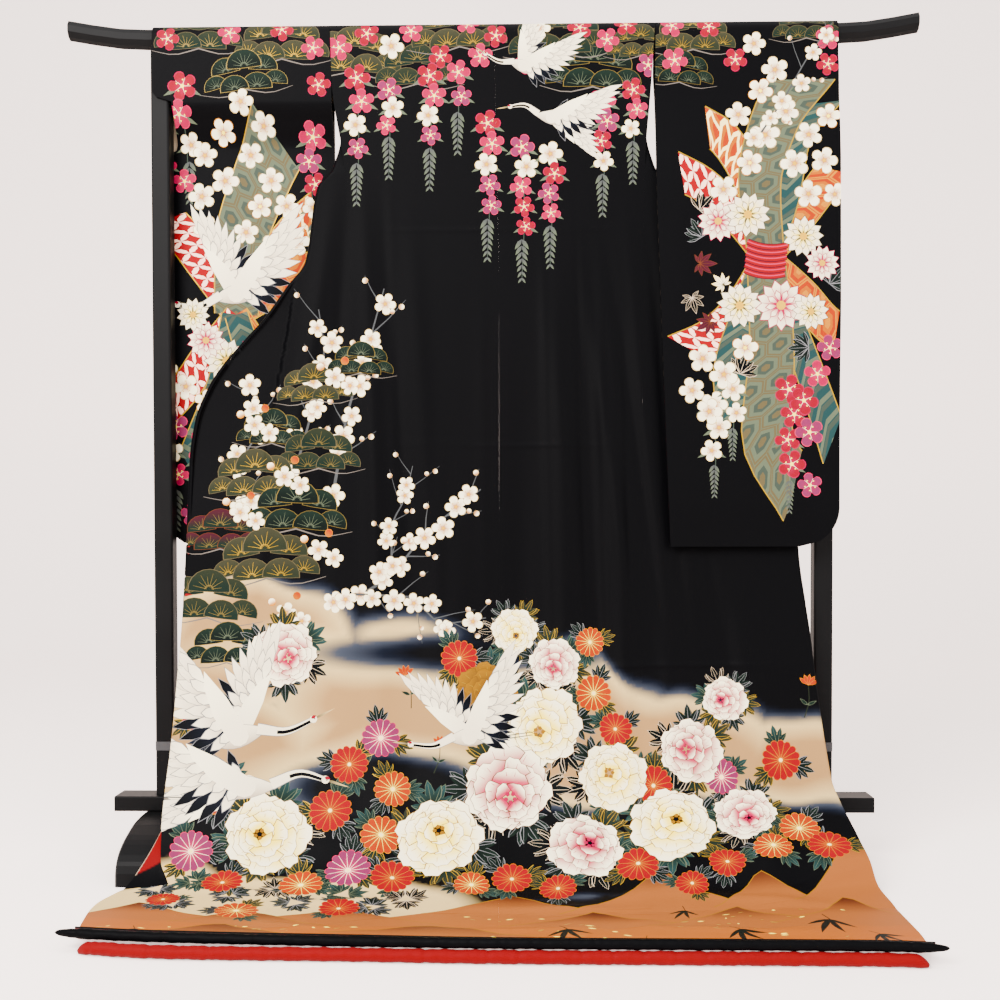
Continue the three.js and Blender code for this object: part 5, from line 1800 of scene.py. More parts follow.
def cut_up(outline: Array, extra: Array, shapes: Sequence[Array]) -> tuple[Array, Array, Array]:
    """Triangulates a panel so that no triangle crosses the edge of a shape.

    Args:
        outline: The panel's edge, anticlockwise.
        extra: Points to take in as well.
        shapes: The shapes that lie on it, from the lowest to the highest.

    Returns:
        Points, triangles, and for each triangle the top shape's number or -1.
    """
    loops = [outline, *shapes]
    counts = np.array([len(loop) for loop in loops])
    starts = np.concatenate([[0], np.cumsum(counts)[:-1]])
    faces = [list(range(s, s + c)) for s, c in zip(starts.tolist(), counts.tolist())]
    points = np.concatenate([*loops, extra])
    found = delaunay_2d_cdt([Vector(p) for p in points.tolist()], [], faces, KEEP_INSIDE, TOUCHING, True)
    places = np.array([(v[0], v[1]) for v in found[0]])
    boxes = [(*s.min(0), *s.max(0)) for s in shapes]
    kept, tops = [], []
    for corners, owners in zip(found[2], found[5]):
        if 0 not in owners:
            continue
        x, y = places[corners].mean(0)
        top = -1
        for owner in sorted(owners, reverse=True):
            if owner == 0:
                break
            box = boxes[owner - 1]
            if box[0] <= x <= box[2] and box[1] <= y <= box[3]:
                top = owner - 1
                break
        kept.append(corners)
        tops.append(top)
    triangles = np.array(kept)
    used, renumbered = np.unique(triangles, return_inverse=True)
    return places[used], renumbered.reshape(triangles.shape), np.array(tops)


def edge_loop(triangles: Array) -> Array:
    """The longest closed edge of a set of triangles.

    Args:
        triangles: Anticlockwise triangles as (t, 3).

    Returns:
        The edge's points in order.
    """
    edges = np.concatenate([triangles[:, [0, 1]], triangles[:, [1, 2]], triangles[:, [2, 0]]])
    present = set(map(tuple, edges.tolist()))
    after = {a: b for a, b in present if (b, a) not in present}
    best: list[int] = []
    while after:
        start, at = next(iter(after.items()))
        loop = [start]
        del after[start]
        while at != start and at in after:
            loop.append(at)
            at = after.pop(at)
        if len(loop) > len(best):
            best = loop
    return np.array(best)


@dataclass
class Skin:
    """A triangle mesh with everything said at its corners.

    Attributes:
        points: Vertices in millimetres, as (n, 3).
        faces: Triangles as (t, 3).
        normals: Corner normals as (t, 3, 3).
        colours: Corner colours as (t, 3, 4).
        uvs: Corner places on the baked picture as (t, 3, 2).
    """

    points: Array
    faces: Array
    normals: Array
    colours: Array
    uvs: Array

    def piece(self, name: str, materials: Sequence[bpy.types.Material]) -> bpy.types.Object:
        """Makes the Blender object.

        Args:
            name: Its name.
            materials: Its material slots.

        Returns:
            The object, linked to the scene.
        """
        mesh = bpy.data.meshes.new(name)
        count = len(self.faces)
        mesh.vertices.add(len(self.points))
        place = self.points * MM + np.array([0, RACK_Y, 0])
        mesh.vertices.foreach_set("co", place.astype(np.float32).ravel())
        mesh.loops.add(count * 3)
        mesh.loops.foreach_set("vertex_index", self.faces.astype(np.int32).ravel())
        mesh.polygons.add(count)
        mesh.polygons.foreach_set("loop_start", np.arange(0, count * 3, 3, dtype=np.int32))
        mesh.update(calc_edges=True)
        mesh.polygons.foreach_set("use_smooth", np.ones(count, bool))
        layer = mesh.uv_layers.new(name="OFBake")
        layer.data.foreach_set("uv", self.uvs.astype(np.float32).ravel())
        printed = mesh.attributes.new("print", "FLOAT_COLOR", "CORNER")
        printed.data.foreach_set("color", self.colours.astype(np.float32).ravel())
        mesh.normals_split_custom_set(self.normals.reshape(-1, 3).tolist())
        for material in materials:
            mesh.materials.append(material)
        obj = bpy.data.objects.new(name, mesh)
        bpy.context.scene.collection.objects.link(obj)
        return obj


class Panel:
    """One panel of cloth: a flat cut, the form that it hangs in, and what is drawn on it.

    The cut lies in canvas units, x across and y down the cloth.

    Attributes:
        outward: 1 where the triangles already face out, -1 where they are turned round.
        step: The spacing of its points.
        stagger: How far every other row of points is shifted, in steps.
        lining_step: The spacing of the lining's points over the outer cloth's.
        floor_gap: The least height of any point.
        ground: Gives the undrawn cloth's colour.
        lining: Gives the lining's colour.
    """

    outward = -1
    step = 7.0
    stagger = 0.5
    lining_step = 1.4
    floor_gap = 0.05
    ground = staticmethod(body_ground)
    lining = staticmethod(body_lining)

    def __init__(self, name: str, canvas: Canvas) -> None:
        """Stores the panel's name and design."""
        self.name = name
        self.canvas = canvas

    def rows(self, step: float) -> Array:
        """Where the rows of points lie down the cut, the first and last on its edge."""
        raise NotImplementedError

    def columns(self, y: float, step: float) -> Array:
        """Where the points of one row lie, from its lower to its higher x."""
        raise NotImplementedError

    def surface(self, x: Array, y: Array) -> Array:
        """The middle of the cloth's wall over places of the cut."""
        raise NotImplementedError

    def across(self, x: Array, y: Array) -> Array:
        """The distance across the cut from its own edge."""
        return x + 0 * y

    def facing(self, x: Array, y: Array) -> Array:
        """The way the outer cloth faces, from the surface's slopes across and down.

        Args:
            x: Places across the cut.
            y: Places down it.

        Returns:
            Unit normals as (..., 3).
        """
        wide = self.surface(x + 0.4, y) - self.surface(x - 0.4, y)
        long = self.surface(x, y + 0.4) - self.surface(x, y - 0.4)
        normal = np.cross(wide, long) * -self.outward
        return normal / np.maximum(np.linalg.norm(normal, axis=-1, keepdims=True), 1e-9)

    def lattice(self, step: float) -> tuple[Array, Array]:
        """The panel's edge and the points inside it.

        Args:
            step: Their spacing.

        Returns:
            The edge, anticlockwise, and the inner points.
        """
        rows = self.rows(step)
        lines = [self.columns(float(y), step) for y in rows]
        first = np.stack([lines[0], np.full(len(lines[0]), rows[0])], 1)
        last = np.stack([lines[-1], np.full(len(lines[-1]), rows[-1])], 1)[::-1]
        right = np.array([(line[-1], y) for line, y in zip(lines, rows)])[1:-1]
        left = np.array([(line[0], y) for line, y in zip(lines, rows)])[1:-1][::-1]
        inner = [
            np.stack([line[1:-1] + self.stagger * step * (i % 2 - 0.5), np.full(len(line) - 2, y)], 1)
            for i, (line, y) in enumerate(zip(lines[1:-1], rows[1:-1]))
            if len(line) > 3
        ]
        return np.concatenate([first, right, last, left]), np.concatenate(inner)

    def outer_colours(self, places: Array, tops: Array) -> Array:
        """Corner colours of the outer cloth: the top shape's wash, or the ground.

        Args:
            places: Corner places as (t, 3, 2).
            tops: Each triangle's shape, or -1.

        Returns:
            Colours as (t, 3, 4).
        """
        colours = self.ground(places[..., 0], places[..., 1])
        drawn = tops >= 0
        if drawn.any():
            inks = np.array(self.canvas.inks)[tops[drawn]]
            axes = np.array(self.canvas.axes)[tops[drawn]]
            off = places[drawn] - axes[:, None, 0:2]
            run = (axes[:, 2:4] - axes[:, 0:2])[:, None]
            length = np.maximum((run**2).sum(-1), 1e-9)
            along = (off * run).sum(-1) / length
            round_ = np.sqrt((off**2).sum(-1) / length)
            share = np.where(axes[:, 4:5] > 0, round_, along)
            share = ease(share, 0, 1)[..., None]
            colours[drawn] = mix(inks[:, None, 0], inks[:, None, 1], share)
        return colours

    def picture(self, across: Array, y: Array, width: float, first: float, length: float) -> Array:
        """Places on the baked picture: the cut's length in sections that lie side by side.

        Args:
            across: Corner distances across the cut, as (t, 3).
            y: Corner places down the cut.
            width: The cut's full width.
            first: Where its length begins.
            length: Its length.

        Returns:
            Places as (t, 3, 2).
        """
        gap, count, tall, size = self.sections(width, length)
        section = np.clip(((y.mean(1) - first) // tall)[:, None], 0, count - 1)
        u = (section * (width + gap) + across + gap / 2) / size
        v = (y - first - section * tall + gap / 2) / size
        return np.stack([u, v], -1)

    @staticmethod
    def sections(width: float, length: float) -> tuple[float, int, float, float]:
        """How a cut is laid out on its baked picture.

        Args:
            width: The cut's full width.
            length: Its length.

        Returns:
            The gap between sections, their number and length, and the picture's size.
        """
        gap = 16.0
        count = max(1, round(1.1 * math.sqrt(length / width)))
        tall = length / count
        return gap, count, tall, max(count * (width + gap), tall + gap + 0.15 * width)

    def skin(self) -> Skin:
        """Builds the closed shell: outer cloth, lining and the rim between them.

        Both faces lie half the wall from the middle surface. The lining takes the outer
        cloth's edge points, so that the shell is closed.

        Returns:
            The whole shell.
        """
        edge, inner = self.lattice(self.step)
        chosen = self.canvas.within(edge.min(0), edge.max(0))
        shapes = [self.canvas.shapes[i] for i in chosen]
        flat, faces, tops = cut_up(edge, inner, shapes)
        tops = np.where(tops >= 0, np.array([*chosen, -1])[tops], -1)
        loop = edge_loop(faces)
        _, coarse = self.lattice(self.step * self.lining_step)
        under, under_faces, _ = cut_up(flat[loop], coarse, [])
        under_loop = edge_loop(under_faces)
        nearest = np.argmin(((under[under_loop] - flat[loop[0]]) ** 2).sum(1))
        under_loop = np.roll(under_loop, -nearest)
        count = min(len(loop), len(under_loop))
        top_points, top_normals = self.surface(*flat.T), self.facing(*flat.T)
        low_points, low_normals = self.surface(*under.T), self.facing(*under.T)
        points = np.concatenate([top_points + top_normals * WALL / 2, low_points - low_normals * WALL / 2])
        points[:, 1] *= -1
        points[:, 2] = np.maximum(points[:, 2], self.floor_gap)
        top_normals, low_normals = top_normals * [1, -1, 1], low_normals * [1, -1, 1]
        a, b = loop[:count], np.roll(loop[:count], -1)
        c, d = under_loop[:count] + len(flat), np.roll(under_loop[:count], -1) + len(flat)
        rim = np.concatenate([np.stack([b, a, c], 1), np.stack([b, c, d], 1)])
        across = self.across(*flat.T)
        low, width = across.min(), float(np.ptp(across))
        first, length = float(flat[:, 1].min()), float(np.ptp(flat[:, 1]))
        _, _, tall, size = self.sections(width, length)
        uv_top = self.picture(across[faces] - low, flat[faces][..., 1], width, first, length)
        free = 1 - (tall + 20) / size
        scale = min(0.98 / length, free / width)
        under_uv = np.stack([(under[:, 1] - first) * scale, 0.995 - (self.across(*under.T) - low) * scale], 1)
        uv_under = np.clip(under_uv, 0, 1)[under_faces]
        rim_places = np.concatenate([flat, under])[rim]
        rim_across = self.across(rim_places[..., 0], rim_places[..., 1]) - low
        uv_rim = self.picture(rim_across, rim_places[..., 1], width, first, length)
        shell = np.concatenate([faces, under_faces[:, ::-1] + len(flat), rim])
        colours = np.concatenate(
            [
                self.outer_colours(flat[faces], tops),
                self.lining(*np.moveaxis(under[under_faces[:, ::-1]], -1, 0)),
                self.ground(rim_places[..., 0], rim_places[..., 1]),
            ]
        )
        corner = points[rim]
        rim_normal = np.cross(corner[:, 1] - corner[:, 0], corner[:, 2] - corner[:, 0])
        rim_normal *= self.outward / np.maximum(np.linalg.norm(rim_normal, axis=1, keepdims=True), 1e-9)
        normals = np.concatenate(
            [
                top_normals[faces],
                -low_normals[under_faces[:, ::-1]],
                np.repeat(rim_normal[:, None], 3, 1),
            ]
        )
        uvs = np.concatenate([uv_top, uv_under[:, ::-1], uv_rim])
        way = slice(None, None, self.outward)
        return Skin(points, shell[:, way], normals[:, way], colours[:, way], uvs[:, way])


FINE_TO = 42.0  # down to here the rows follow the bar's curve closely


def spaced(first: float, last: float, step: float, fine_to: float = 0.0) -> Array:
    """Places from first to last.

    Args:
        first: The first place.
        last: The last place.
        step: About how far apart they lie.
        fine_to: Up to here they lie 3 mm apart.

    Returns:
        The places, rising.
    """
    if fine_to > first:
        near = np.linspace(first, fine_to, max(2, round((fine_to - first) / 3.0) + 1))
        return np.concatenate([near[:-1], spaced(fine_to, last, step)])
    return np.linspace(first, last, max(2, round((last - first) / step) + 1))


class BackPanel(Panel):
    """Half of the back, from the shoulder line to the padded hem."""

    def __init__(self, name: str, canvas: Canvas, side: int) -> None:
        """Stores which side it is on, -1 for left and 1 for right."""
        super().__init__(name, canvas)
        self.side = side

    def rows(self, step: float) -> Array:
        """From the shoulder line to the hem, close together over the bar."""
        return spaced(SEWN / 2, CLOTH_LENGTH, step, FINE_TO)

    def columns(self, y: float, step: float) -> Array:
        """From the centre back seam to the side seam."""
        ends = (HANG.centre(y) + self.side * SEWN / 2, HANG.side[self.side](y) - self.side * SEWN / 2)
        return np.linspace(min(ends), max(ends), max(2, round(abs(ends[1] - ends[0]) / step) + 1))

    def surface(self, x: Array, y: Array) -> Array:
        """The skirt's own surface."""
        return HANG.skirt(x, y)

    def across(self, x: Array, y: Array) -> Array:
        """Distances from the centre back seam."""
        return x - HANG.centre(y)


class FrontPanel(Panel):
    """A lengthwise strip of a front: the front itself, its overlap or its collar.

    The canvas x is the side seam's x plus the spread width, as if the strip lay flat.
    """

    stagger = 0.0

    def __init__(
        self,
        name: str,
        canvas: Canvas,
        side: int,
        reach: tuple[Callable[[Array], Array], Callable[[Array], Array]],
        run: tuple[float, float],
    ) -> None:
        """Stores the strip.

        Args:
            name: Its name.
            canvas: Its design.
            side: -1 for the left front, 1 for the right one.
            reach: Its nearer and further edge, as widths from the side seam.
            run: Its first and last place down the cloth.
        """
        super().__init__(name, canvas)
        self.side, self.reach, self.run = side, reach, run

    def rows(self, step: float) -> Array:
        """Down the strip, close together over the bar and where the front turns outwards."""
        above, low = max(self.run[0], FRONTS_PART[1]), 780.0
        parts = [spaced(above, low, 3.2), spaced(low, self.run[1], step)[1:]]
        if above > self.run[0]:
            parts.insert(0, spaced(self.run[0], above, step, FINE_TO)[:-1])
        return np.concatenate(parts)

    def columns(self, y: float, step: float) -> Array:
        """From the nearer to the further edge, close together round the fold at the outline."""
        spread = float(HANG.spread(self.side, y))
        start, end = (float(edge(np.array(y))) * spread for edge in self.reach)
        radius = FOLD_RADIUS * float(HANG.curl(y))
        fold = float(HANG.fold_start(self.side, y)) + radius * math.pi / 2
        half = radius * math.pi / 2 + 5
        stops = np.clip([start, fold - half, fold + half, end], start, end)
        parts = [np.array([start])]
        for a, b, gap in zip(stops[:-1], stops[1:], (step, 2.6 if radius > 0.5 else step, step)):
            if b - a > 0.4 * gap:
                parts.append(np.linspace(a, b, max(2, round((b - a) / gap) + 1))[1:])
        places = np.concatenate(parts)
        places[-1] = end
        x = float(HANG.side[self.side](y)) + self.side * places
        return x if self.side > 0 else x[::-1]

    def width_at(self, x: Array, y: Array) -> Array:
        """Widths from the side seam for places on the canvas."""
        return (x - HANG.side[self.side](y)) * self.side / HANG.spread(self.side, y)

    def surface(self, x: Array, y: Array) -> Array:
        """The front's own surface."""
        return HANG.front(self.side, self.width_at(x, y), y)

    def across(self, x: Array, y: Array) -> Array:
        """Widths from the side seam, negative on the left."""
        return self.width_at(x, y) * self.side


class NeckPanel(Panel):
    """The collar's stretch round the nape, between the two fronts."""

    outward = 1
    step = 4.0
    ground = staticmethod(black_ground)

    def rows(self, step: float) -> Array:
        """From the shoulder line to where the long collars begin."""
        return spaced(SEWN / 2, COLLAR_NECK_DROP, step)

    def ends(self, y: Array) -> tuple[Array, Array]:
        """Its left and right edge as points."""
        return tuple(HANG.behind_bar(side, HANG.front_width(y) + SEAM, y) for side in (-1, 1))

    def columns(self, y: float, step: float) -> Array:
        """From front to front."""
        left, right = self.ends(np.array(y))
        low, high = sorted((float(left[0]), float(right[0])))
        return np.linspace(low, high, max(3, round((high - low) / step) + 1))

    def surface(self, x: Array, y: Array) -> Array:
        """The fronts' own curve over the bar, carried across the nape."""
        point = self.ends(y)[0].copy()
        point[..., 0] = x
        return point


class TurnedEdge(Panel):
    """The left overlap's edge where it is turned under on the floor, lining outwards."""

    step = 3.0
    width = 62.0
    lining = staticmethod(black_ground)

    def rows(self, step: float) -> Array:
        """Over the whole turned edge."""
        down = TURNED_EDGE.column("down")
        return spaced(down[0], down[-1], step)

    def columns(self, y: float, step: float) -> Array:
        """From the free edge to the fold."""
        return np.linspace(0, self.width, round(self.width / step) + 1)

    def surface(self, x: Array, y: Array) -> Array:
        """Straight lines from the free edge to the overlap's underside, bulged in the middle."""
        u = x / self.width
        get = {name: TURNED_EDGE.curve("down", name)(y) for name in TURNED_EDGE.names[1:]}
        at = HANG.edge[-1](y) + get["inside"]
        wide = HANG.skirt(at + 1, y) - HANG.skirt(at - 1, y)
        long = HANG.skirt(at, y + 1) - HANG.skirt(at, y - 1)
        normal = np.cross(wide, long)
        normal /= np.linalg.norm(normal, axis=-1, keepdims=True)
        fixed = HANG.skirt(at, y) - normal * (WALL + TURNED_GAP)
        free = np.stack(np.broadcast_arrays(get["free_x"], get["free_reach"], get["free_height"]), -1)
        point = mix(free, fixed, u[..., None])
        point[..., 1] += get["bulge"] * np.sin(np.pi * np.minimum(u / TURNED_FREE_SHARE, 1))
        return point

    def ground(self, x: Array, y: Array) -> Array:
        """Red with a pale rim above, black for the last third."""
        red = ramp(x + 0 * y, (1.4, Ink.PEARL), (1.8, Ink.VERMILION))
        down = TURNED_EDGE.column("down")
        share = (y - down[0]) / (down[-1] - down[0]) + 0.004 * x
        return mix(red, black_ground(x, y), np.clip(40 * (share - 0.66), 0, 1)[..., None])


class SleevePanel(Panel):
    """A whole sleeve over the bar, in front of it where y is negative."""

    outward = 1
    step = 9.0
    ground = staticmethod(black_ground)
    turned_in = 16.0  # how much of the outer cloth the inner edge turns to the inside

    def __init__(self, name: str, canvas: Canvas, side: int) -> None:
        """Stores the side and its curves."""
        super().__init__(name, canvas)
        self.side = side
        table = SLEEVE_LEFT if side < 0 else SLEEVE_RIGHT
        self.curves = {column: table.curve("down", column) for column in table.names[1:]}

    def outer_edge(self, along: Array) -> Array:
        """The outer edge with its rounded bottom corner, a quarter circle.

        Args:
            along: Cloth lengths from the shoulder line, negative on the near half.

        Returns:
            Its places across.
        """
        down = np.abs(along)
        edge = np.where(along < 0, self.curves["near_edge"](down), self.curves["far_edge"](down))
        into = np.maximum(down - (SLEEVE_LENGTH - SLEEVE_CORNER), 0)
        rounding = SLEEVE_CORNER - np.sqrt(np.maximum(SLEEVE_CORNER**2 - into**2, 0))
        return edge - self.side * rounding

    def rows(self, step: float) -> Array:
        """From the near half's bottom over the bar to the far half's."""
        half = spaced(0, SLEEVE_LENGTH, step, FINE_TO)
        return np.concatenate([-half[:0:-1], half])

    def columns(self, y: float, step: float) -> Array:
        """From the inner to the outer edge."""
        ends = (float(HANG.sleeve_inner[self.side](abs(y))), float(self.outer_edge(np.array(y))))
        low, high = sorted(ends)
        return np.linspace(low, high, max(3, round((high - low) / step) + 1))

    def relief(self, x: Array, down: Array) -> Array:
        """Soft upright waves that both halves share."""
        grown = ease(down, 120, 500) * (1 - 0.6 * ease(down, 850, 1000))
        wave = np.sin(x / 31 + down / 260 + self.side) + 0.6 * np.sin(x / 17 - down / 410)
        return 0.7 * grown * wave

    def surface(self, x: Array, y: Array) -> Array:
        """A half circle over the bar, then straight down.

        The halves lie apart by the sleeve's fullness and gather to each other at the outer
        edge and the bottom, below the part that is left open for the hand.

        Args:
            x: Places across.
            y: Cloth lengths from the shoulder line, negative on the near half.

        Returns:
            Points as (..., 3).
        """
        x, y = np.broadcast_arrays(np.asarray(x, float), np.asarray(y, float))
        down, near = np.abs(y), y < 0
        inner, outer = HANG.sleeve_inner[self.side](down), self.outer_edge(y)
        u = np.clip((x - inner) / (outer - inner), 0, 1)
        turn = np.clip(y, -SHOULDER_RUN, SHOULDER_RUN) / BAR_WRAP
        near_reach, far_reach = self.curves["near_reach"](down), self.curves["far_reach"](down)
        reach = np.where(near, near_reach, far_reach)
        sewn = ease(down, SLEEVE_SEWN_FROM, SLEEVE_SEWN_FROM + 90)
        at_seam = np.maximum(ease(u, 0.8, 1), ease(down, SLEEVE_LENGTH - 90, SLEEVE_LENGTH))
        gather = sewn * (at_seam * 0.46 - (1 - at_seam) * (SLEEVE_FULLNESS / 6))
        hung = mix(reach, (near_reach + far_reach) / 2, gather) + self.relief(x, down)
        over = down < SHOULDER_RUN
        reach = np.where(over, -BAR_WRAP * np.sin(turn), hung)
        height = np.where(over, BAR_CENTRE + BAR_WRAP * np.cos(turn), BAR_CENTRE + SHOULDER_RUN - down)
        return np.stack([x, reach, height], -1)

    def across(self, x: Array, y: Array) -> Array:
        """Distances from the inner edge."""
        return x - HANG.sleeve_inner[self.side](np.abs(y))

    def lining(self, x: Array, y: Array) -> Array:
        """The sleeve's lining, with the outer cloth turned in along the inner edge."""
        black = np.clip((self.turned_in - np.abs(self.across(x, y))) / 2, 0, 1)
        return mix(sleeve_lining(x, y), black_ground(x, y), black[..., None])


@dataclass(frozen=True)
class HemRoll:
    """A padded silk roll along the hem.

    Attributes:
        name: The piece's name.
        start: Its left tip.
        end: Its right tip.
        tip: The length over which it tapers.
        radius: Its radius.
        black: True for the outer roll, which lies on the red one.
        ink: Its colour.
        sides: The number of points round it.
        spacing: How far apart its rings lie.
        stitches: How far apart its quilting stitches lie.
        strips: The number of lengths it is cut into on its baked picture.
    """

    name: str
    start: float
    end: float
    tip: float
    radius: float
    black: bool
    ink: Ink
    sides: int = 20
    spacing: float = 3.2
    stitches: float = 46.0
    strips: int = 24

    def centre(self, x: Array, size: Array) -> tuple[Array, Array]:
        """Reach and height of its middle line."""
        facet = math.cos(math.pi / 10)
        ahead = HANG.red_ahead(x)
        if not self.black:
            return HANG.hem(x) + ahead, size * facet
        apart = BLACK_ROLL_RADIUS + RED_ROLL_RADIUS + REST_GAP
        above = np.sqrt(np.maximum(apart**2 - ahead**2, 0))
        return HANG.hem(x), RED_ROLL_RADIUS * facet + np.maximum(above, BLACK_ROLL_LIFT)

    def skin(self) -> Skin:
        """Builds the roll as rings with a pole at each tip.

        The radius is drawn in a little at each quilting stitch and where the silk puckers.

        Returns:
            The closed tube.
        """
        sides, strips, length = self.sides, self.strips, self.end - self.start
        inner = np.linspace(self.start, self.end, round(length / self.spacing) + 1)[1:-1]
        to_tip = np.minimum(inner - self.start, self.end - inner)
        taper = np.sqrt(np.clip(1 - (1 - np.minimum(to_tip / self.tip, 1)) ** 2, 0.02, 1))
        angle = np.arange(sides) * 2 * np.pi / sides
        x, a = np.meshgrid(inner, angle, indexing="ij")
        stitch = np.exp(-(((x + 0.5 * self.start) % self.stitches - self.stitches / 2) ** 2) / 9)
        pucker = 0.03 * np.sin(x / 2.6 + 2.2 * np.sin(x / 31)) + 0.035 * np.sin(x / 7.3 + 2 * a)
        size = self.radius * taper[:, None] * (0.985 - 0.11 * stitch * (0.6 + 0.4 * np.cos(a - 2.3)) + pucker)
        middle, height = self.centre(inner, self.radius * taper)
        reach = middle[:, None] - size * np.cos(a)
        z = height[:, None] + size * np.sin(a) * (0.97 if not self.black else 1.0)
        body = np.stack([x, -reach, np.maximum(z, 0.02)], -1).reshape(-1, 3)
        tips = np.array([[self.start, -middle[0], height[0]], [self.end, -middle[-1], height[-1]]])
        points = np.concatenate([body, tips])
        count = len(inner)
        i, k = np.meshgrid(np.arange(count - 1), np.arange(sides), indexing="ij")
        p, q = i * sides + k, i * sides + (k + 1) % sides
        ring_ = np.arange(sides)
        following = (ring_ + 1) % sides
        last = (count - 1) * sides
        faces = np.concatenate(
            [
                np.stack([p, q, q + sides], -1).reshape(-1, 3),
                np.stack([p, q + sides, p + sides], -1).reshape(-1, 3),
                np.stack([following, ring_, np.full(sides, count * sides)], -1),
                np.stack([last + ring_, last + following, np.full(sides, count * sides + 1)], -1),
            ]
        )
        a_, b_, c_ = (points[faces[:, n]] for n in range(3))
        if (np.cross(a_, b_) * c_).sum() < 0:
            faces = faces[:, ::-1]
        normals = np.zeros_like(points)
        corner = points[faces]
        face_normal = np.cross(corner[:, 1] - corner[:, 0], corner[:, 2] - corner[:, 0])
        for n in range(3):
            np.add.at(normals, faces[:, n], face_normal)
        normals /= np.maximum(np.linalg.norm(normals, axis=1, keepdims=True), 1e-9)
        turns = np.concatenate([np.tile(angle / (2 * np.pi), count), [0.5, 0.5]])
        share = (points[:, 0] - self.start) / length
        rows = np.clip((share * strips).astype(int), 0, strips - 1)
        face_row = rows[faces].min(1)[:, None]
        around = turns[faces]
        around = np.where(around < around.max(1, keepdims=True) - 0.5, around + 1, around)
        u = 0.02 + 0.9 * np.clip(share[faces] * strips - face_row, 0, 1.06)
        v = (face_row + 0.06 + 0.82 * around / 1.06) / strips
        colours = np.broadcast_to(INKS[self.ink], (len(faces), 3, 4))
        return Skin(points, faces, normals[faces], colours, np.stack([u, v], -1))


# ---- Finishes ----


class Value:
    """A number or socket of a shader, with arithmetic that lays down the nodes."""

    def __init__(self, shader: Shader, source: bpy.types.NodeSocket | float) -> None:
        """Stores the shader that it belongs to and where it comes from."""
        self.shader, self.source = shader, source

    def combined(self, operation: str, *others: Value | float) -> Value:
        """The result of one Math node on this value and others."""
        node = self.shader.node("ShaderNodeMath", {"operation": operation})
        for socket, value in zip(node.inputs, (self, *others)):
            self.shader.feed(socket, value)
        return Value(self.shader, node.outputs[0])

    def __add__(self, other: Value | float) -> Value:
        """Sum, also with a plain number."""
        return self.combined("ADD", other)

    def __sub__(self, other: Value | float) -> Value:
        """Difference."""
        return self.combined("SUBTRACT", other)

    def __mul__(self, other: Value | float) -> Value:
        """Product, also with a plain number."""
        return self.combined("MULTIPLY", other)

    def __rsub__(self, other: float) -> Value:
        """A plain number less this value."""
        return Value(self.shader, other).combined("SUBTRACT", self)

    __radd__ = __add__
    __rmul__ = __mul__

    def power(self, other: float) -> Value:
        """This value raised to a power."""
        return self.combined("POWER", other)

    def limited(self) -> Value:
        """This value held between 0 and 1."""
        return self.combined("MAXIMUM", 0.0).combined("MINIMUM", 1.0)


class Shader:
    """One material's node tree, built from plain calls."""

    def __init__(self, name: str) -> None:
        """Starts a material with only its output."""
        self.material = bpy.data.materials.new(name)
        self.material.use_nodes = True
        self.tree = self.material.node_tree
        self.tree.nodes.clear()
        self.output = self.tree.nodes.new("ShaderNodeOutputMaterial")
        self.place = self.node("ShaderNodeTexCoord").outputs["Object"]

    def feed(self, socket: bpy.types.NodeSocket, value: object) -> None:
        """Links a value or socket to a socket, or sets a plain number there."""
        value = value.source if isinstance(value, Value) else value
        if isinstance(value, bpy.types.NodeSocket):
            self.tree.links.new(value, socket)
        else:
            socket.default_value = value

    def node(self, kind: str, settings: dict | None = None, **inputs: object) -> bpy.types.Node:
        """Adds a node.

        Args:
            kind: Its type.
            settings: Its properties.
            inputs: Its inputs by name, with spaces as underscores.

        Returns:
            The node.
        """
        node = self.tree.nodes.new(kind)
        for name, value in (settings or {}).items():
            setattr(node, name, value)
        for name, value in inputs.items():
            self.feed(node.inputs[name.replace("_", " ")], value)
        return node

    def noise(
        self, scale: float, stretch: tuple[float, float, float] = (1, 1, 1), detail: float = 2.0
    ) -> Value:
        """A noise over the object's own space, from 0 to 1.

        Args:
            scale: How fine it is.
            stretch: Factors on x, y and z before it is read.
            detail: How many finer noises are added.

        Returns:
            The noise.
        """
        mapping = self.node("ShaderNodeMapping", Vector=self.place, Scale=stretch)
        noise = self.node("ShaderNodeTexNoise", None, Vector=mapping.outputs[0], Scale=scale, Detail=detail)
        return Value(self, noise.outputs["Fac"])

    def shaded(self, colour: bpy.types.NodeSocket | Sequence[float], factor: Value) -> bpy.types.NodeSocket:
        """A colour times a factor."""
        node = self.node("ShaderNodeVectorMath", {"operation": "SCALE"})
        self.feed(node.inputs[0], colour)
        self.feed(node.inputs["Scale"], factor)
        return node.outputs[0]

    def surface(
        self, bump: Value | None = None, strength: float = 0.2, depth: float = 0.001, **inputs: object
    ) -> bpy.types.Material:
        """Ends the tree in one Principled shader.

        Args:
            bump: The height that its normal comes from.
            strength: How much of the bump shows.
            depth: The bump's depth in metres.
            inputs: The shader's inputs by name.

        Returns:
            The material.
        """
        if bump is not None:
            node = self.node("ShaderNodeBump", None, Height=bump, Strength=strength, Distance=depth)
            inputs["Normal"] = node.outputs[0]
        shader = self.node("ShaderNodeBsdfPrincipled", None, **inputs)
        self.tree.links.new(shader.outputs[0], self.output.inputs[0])
        return self.material


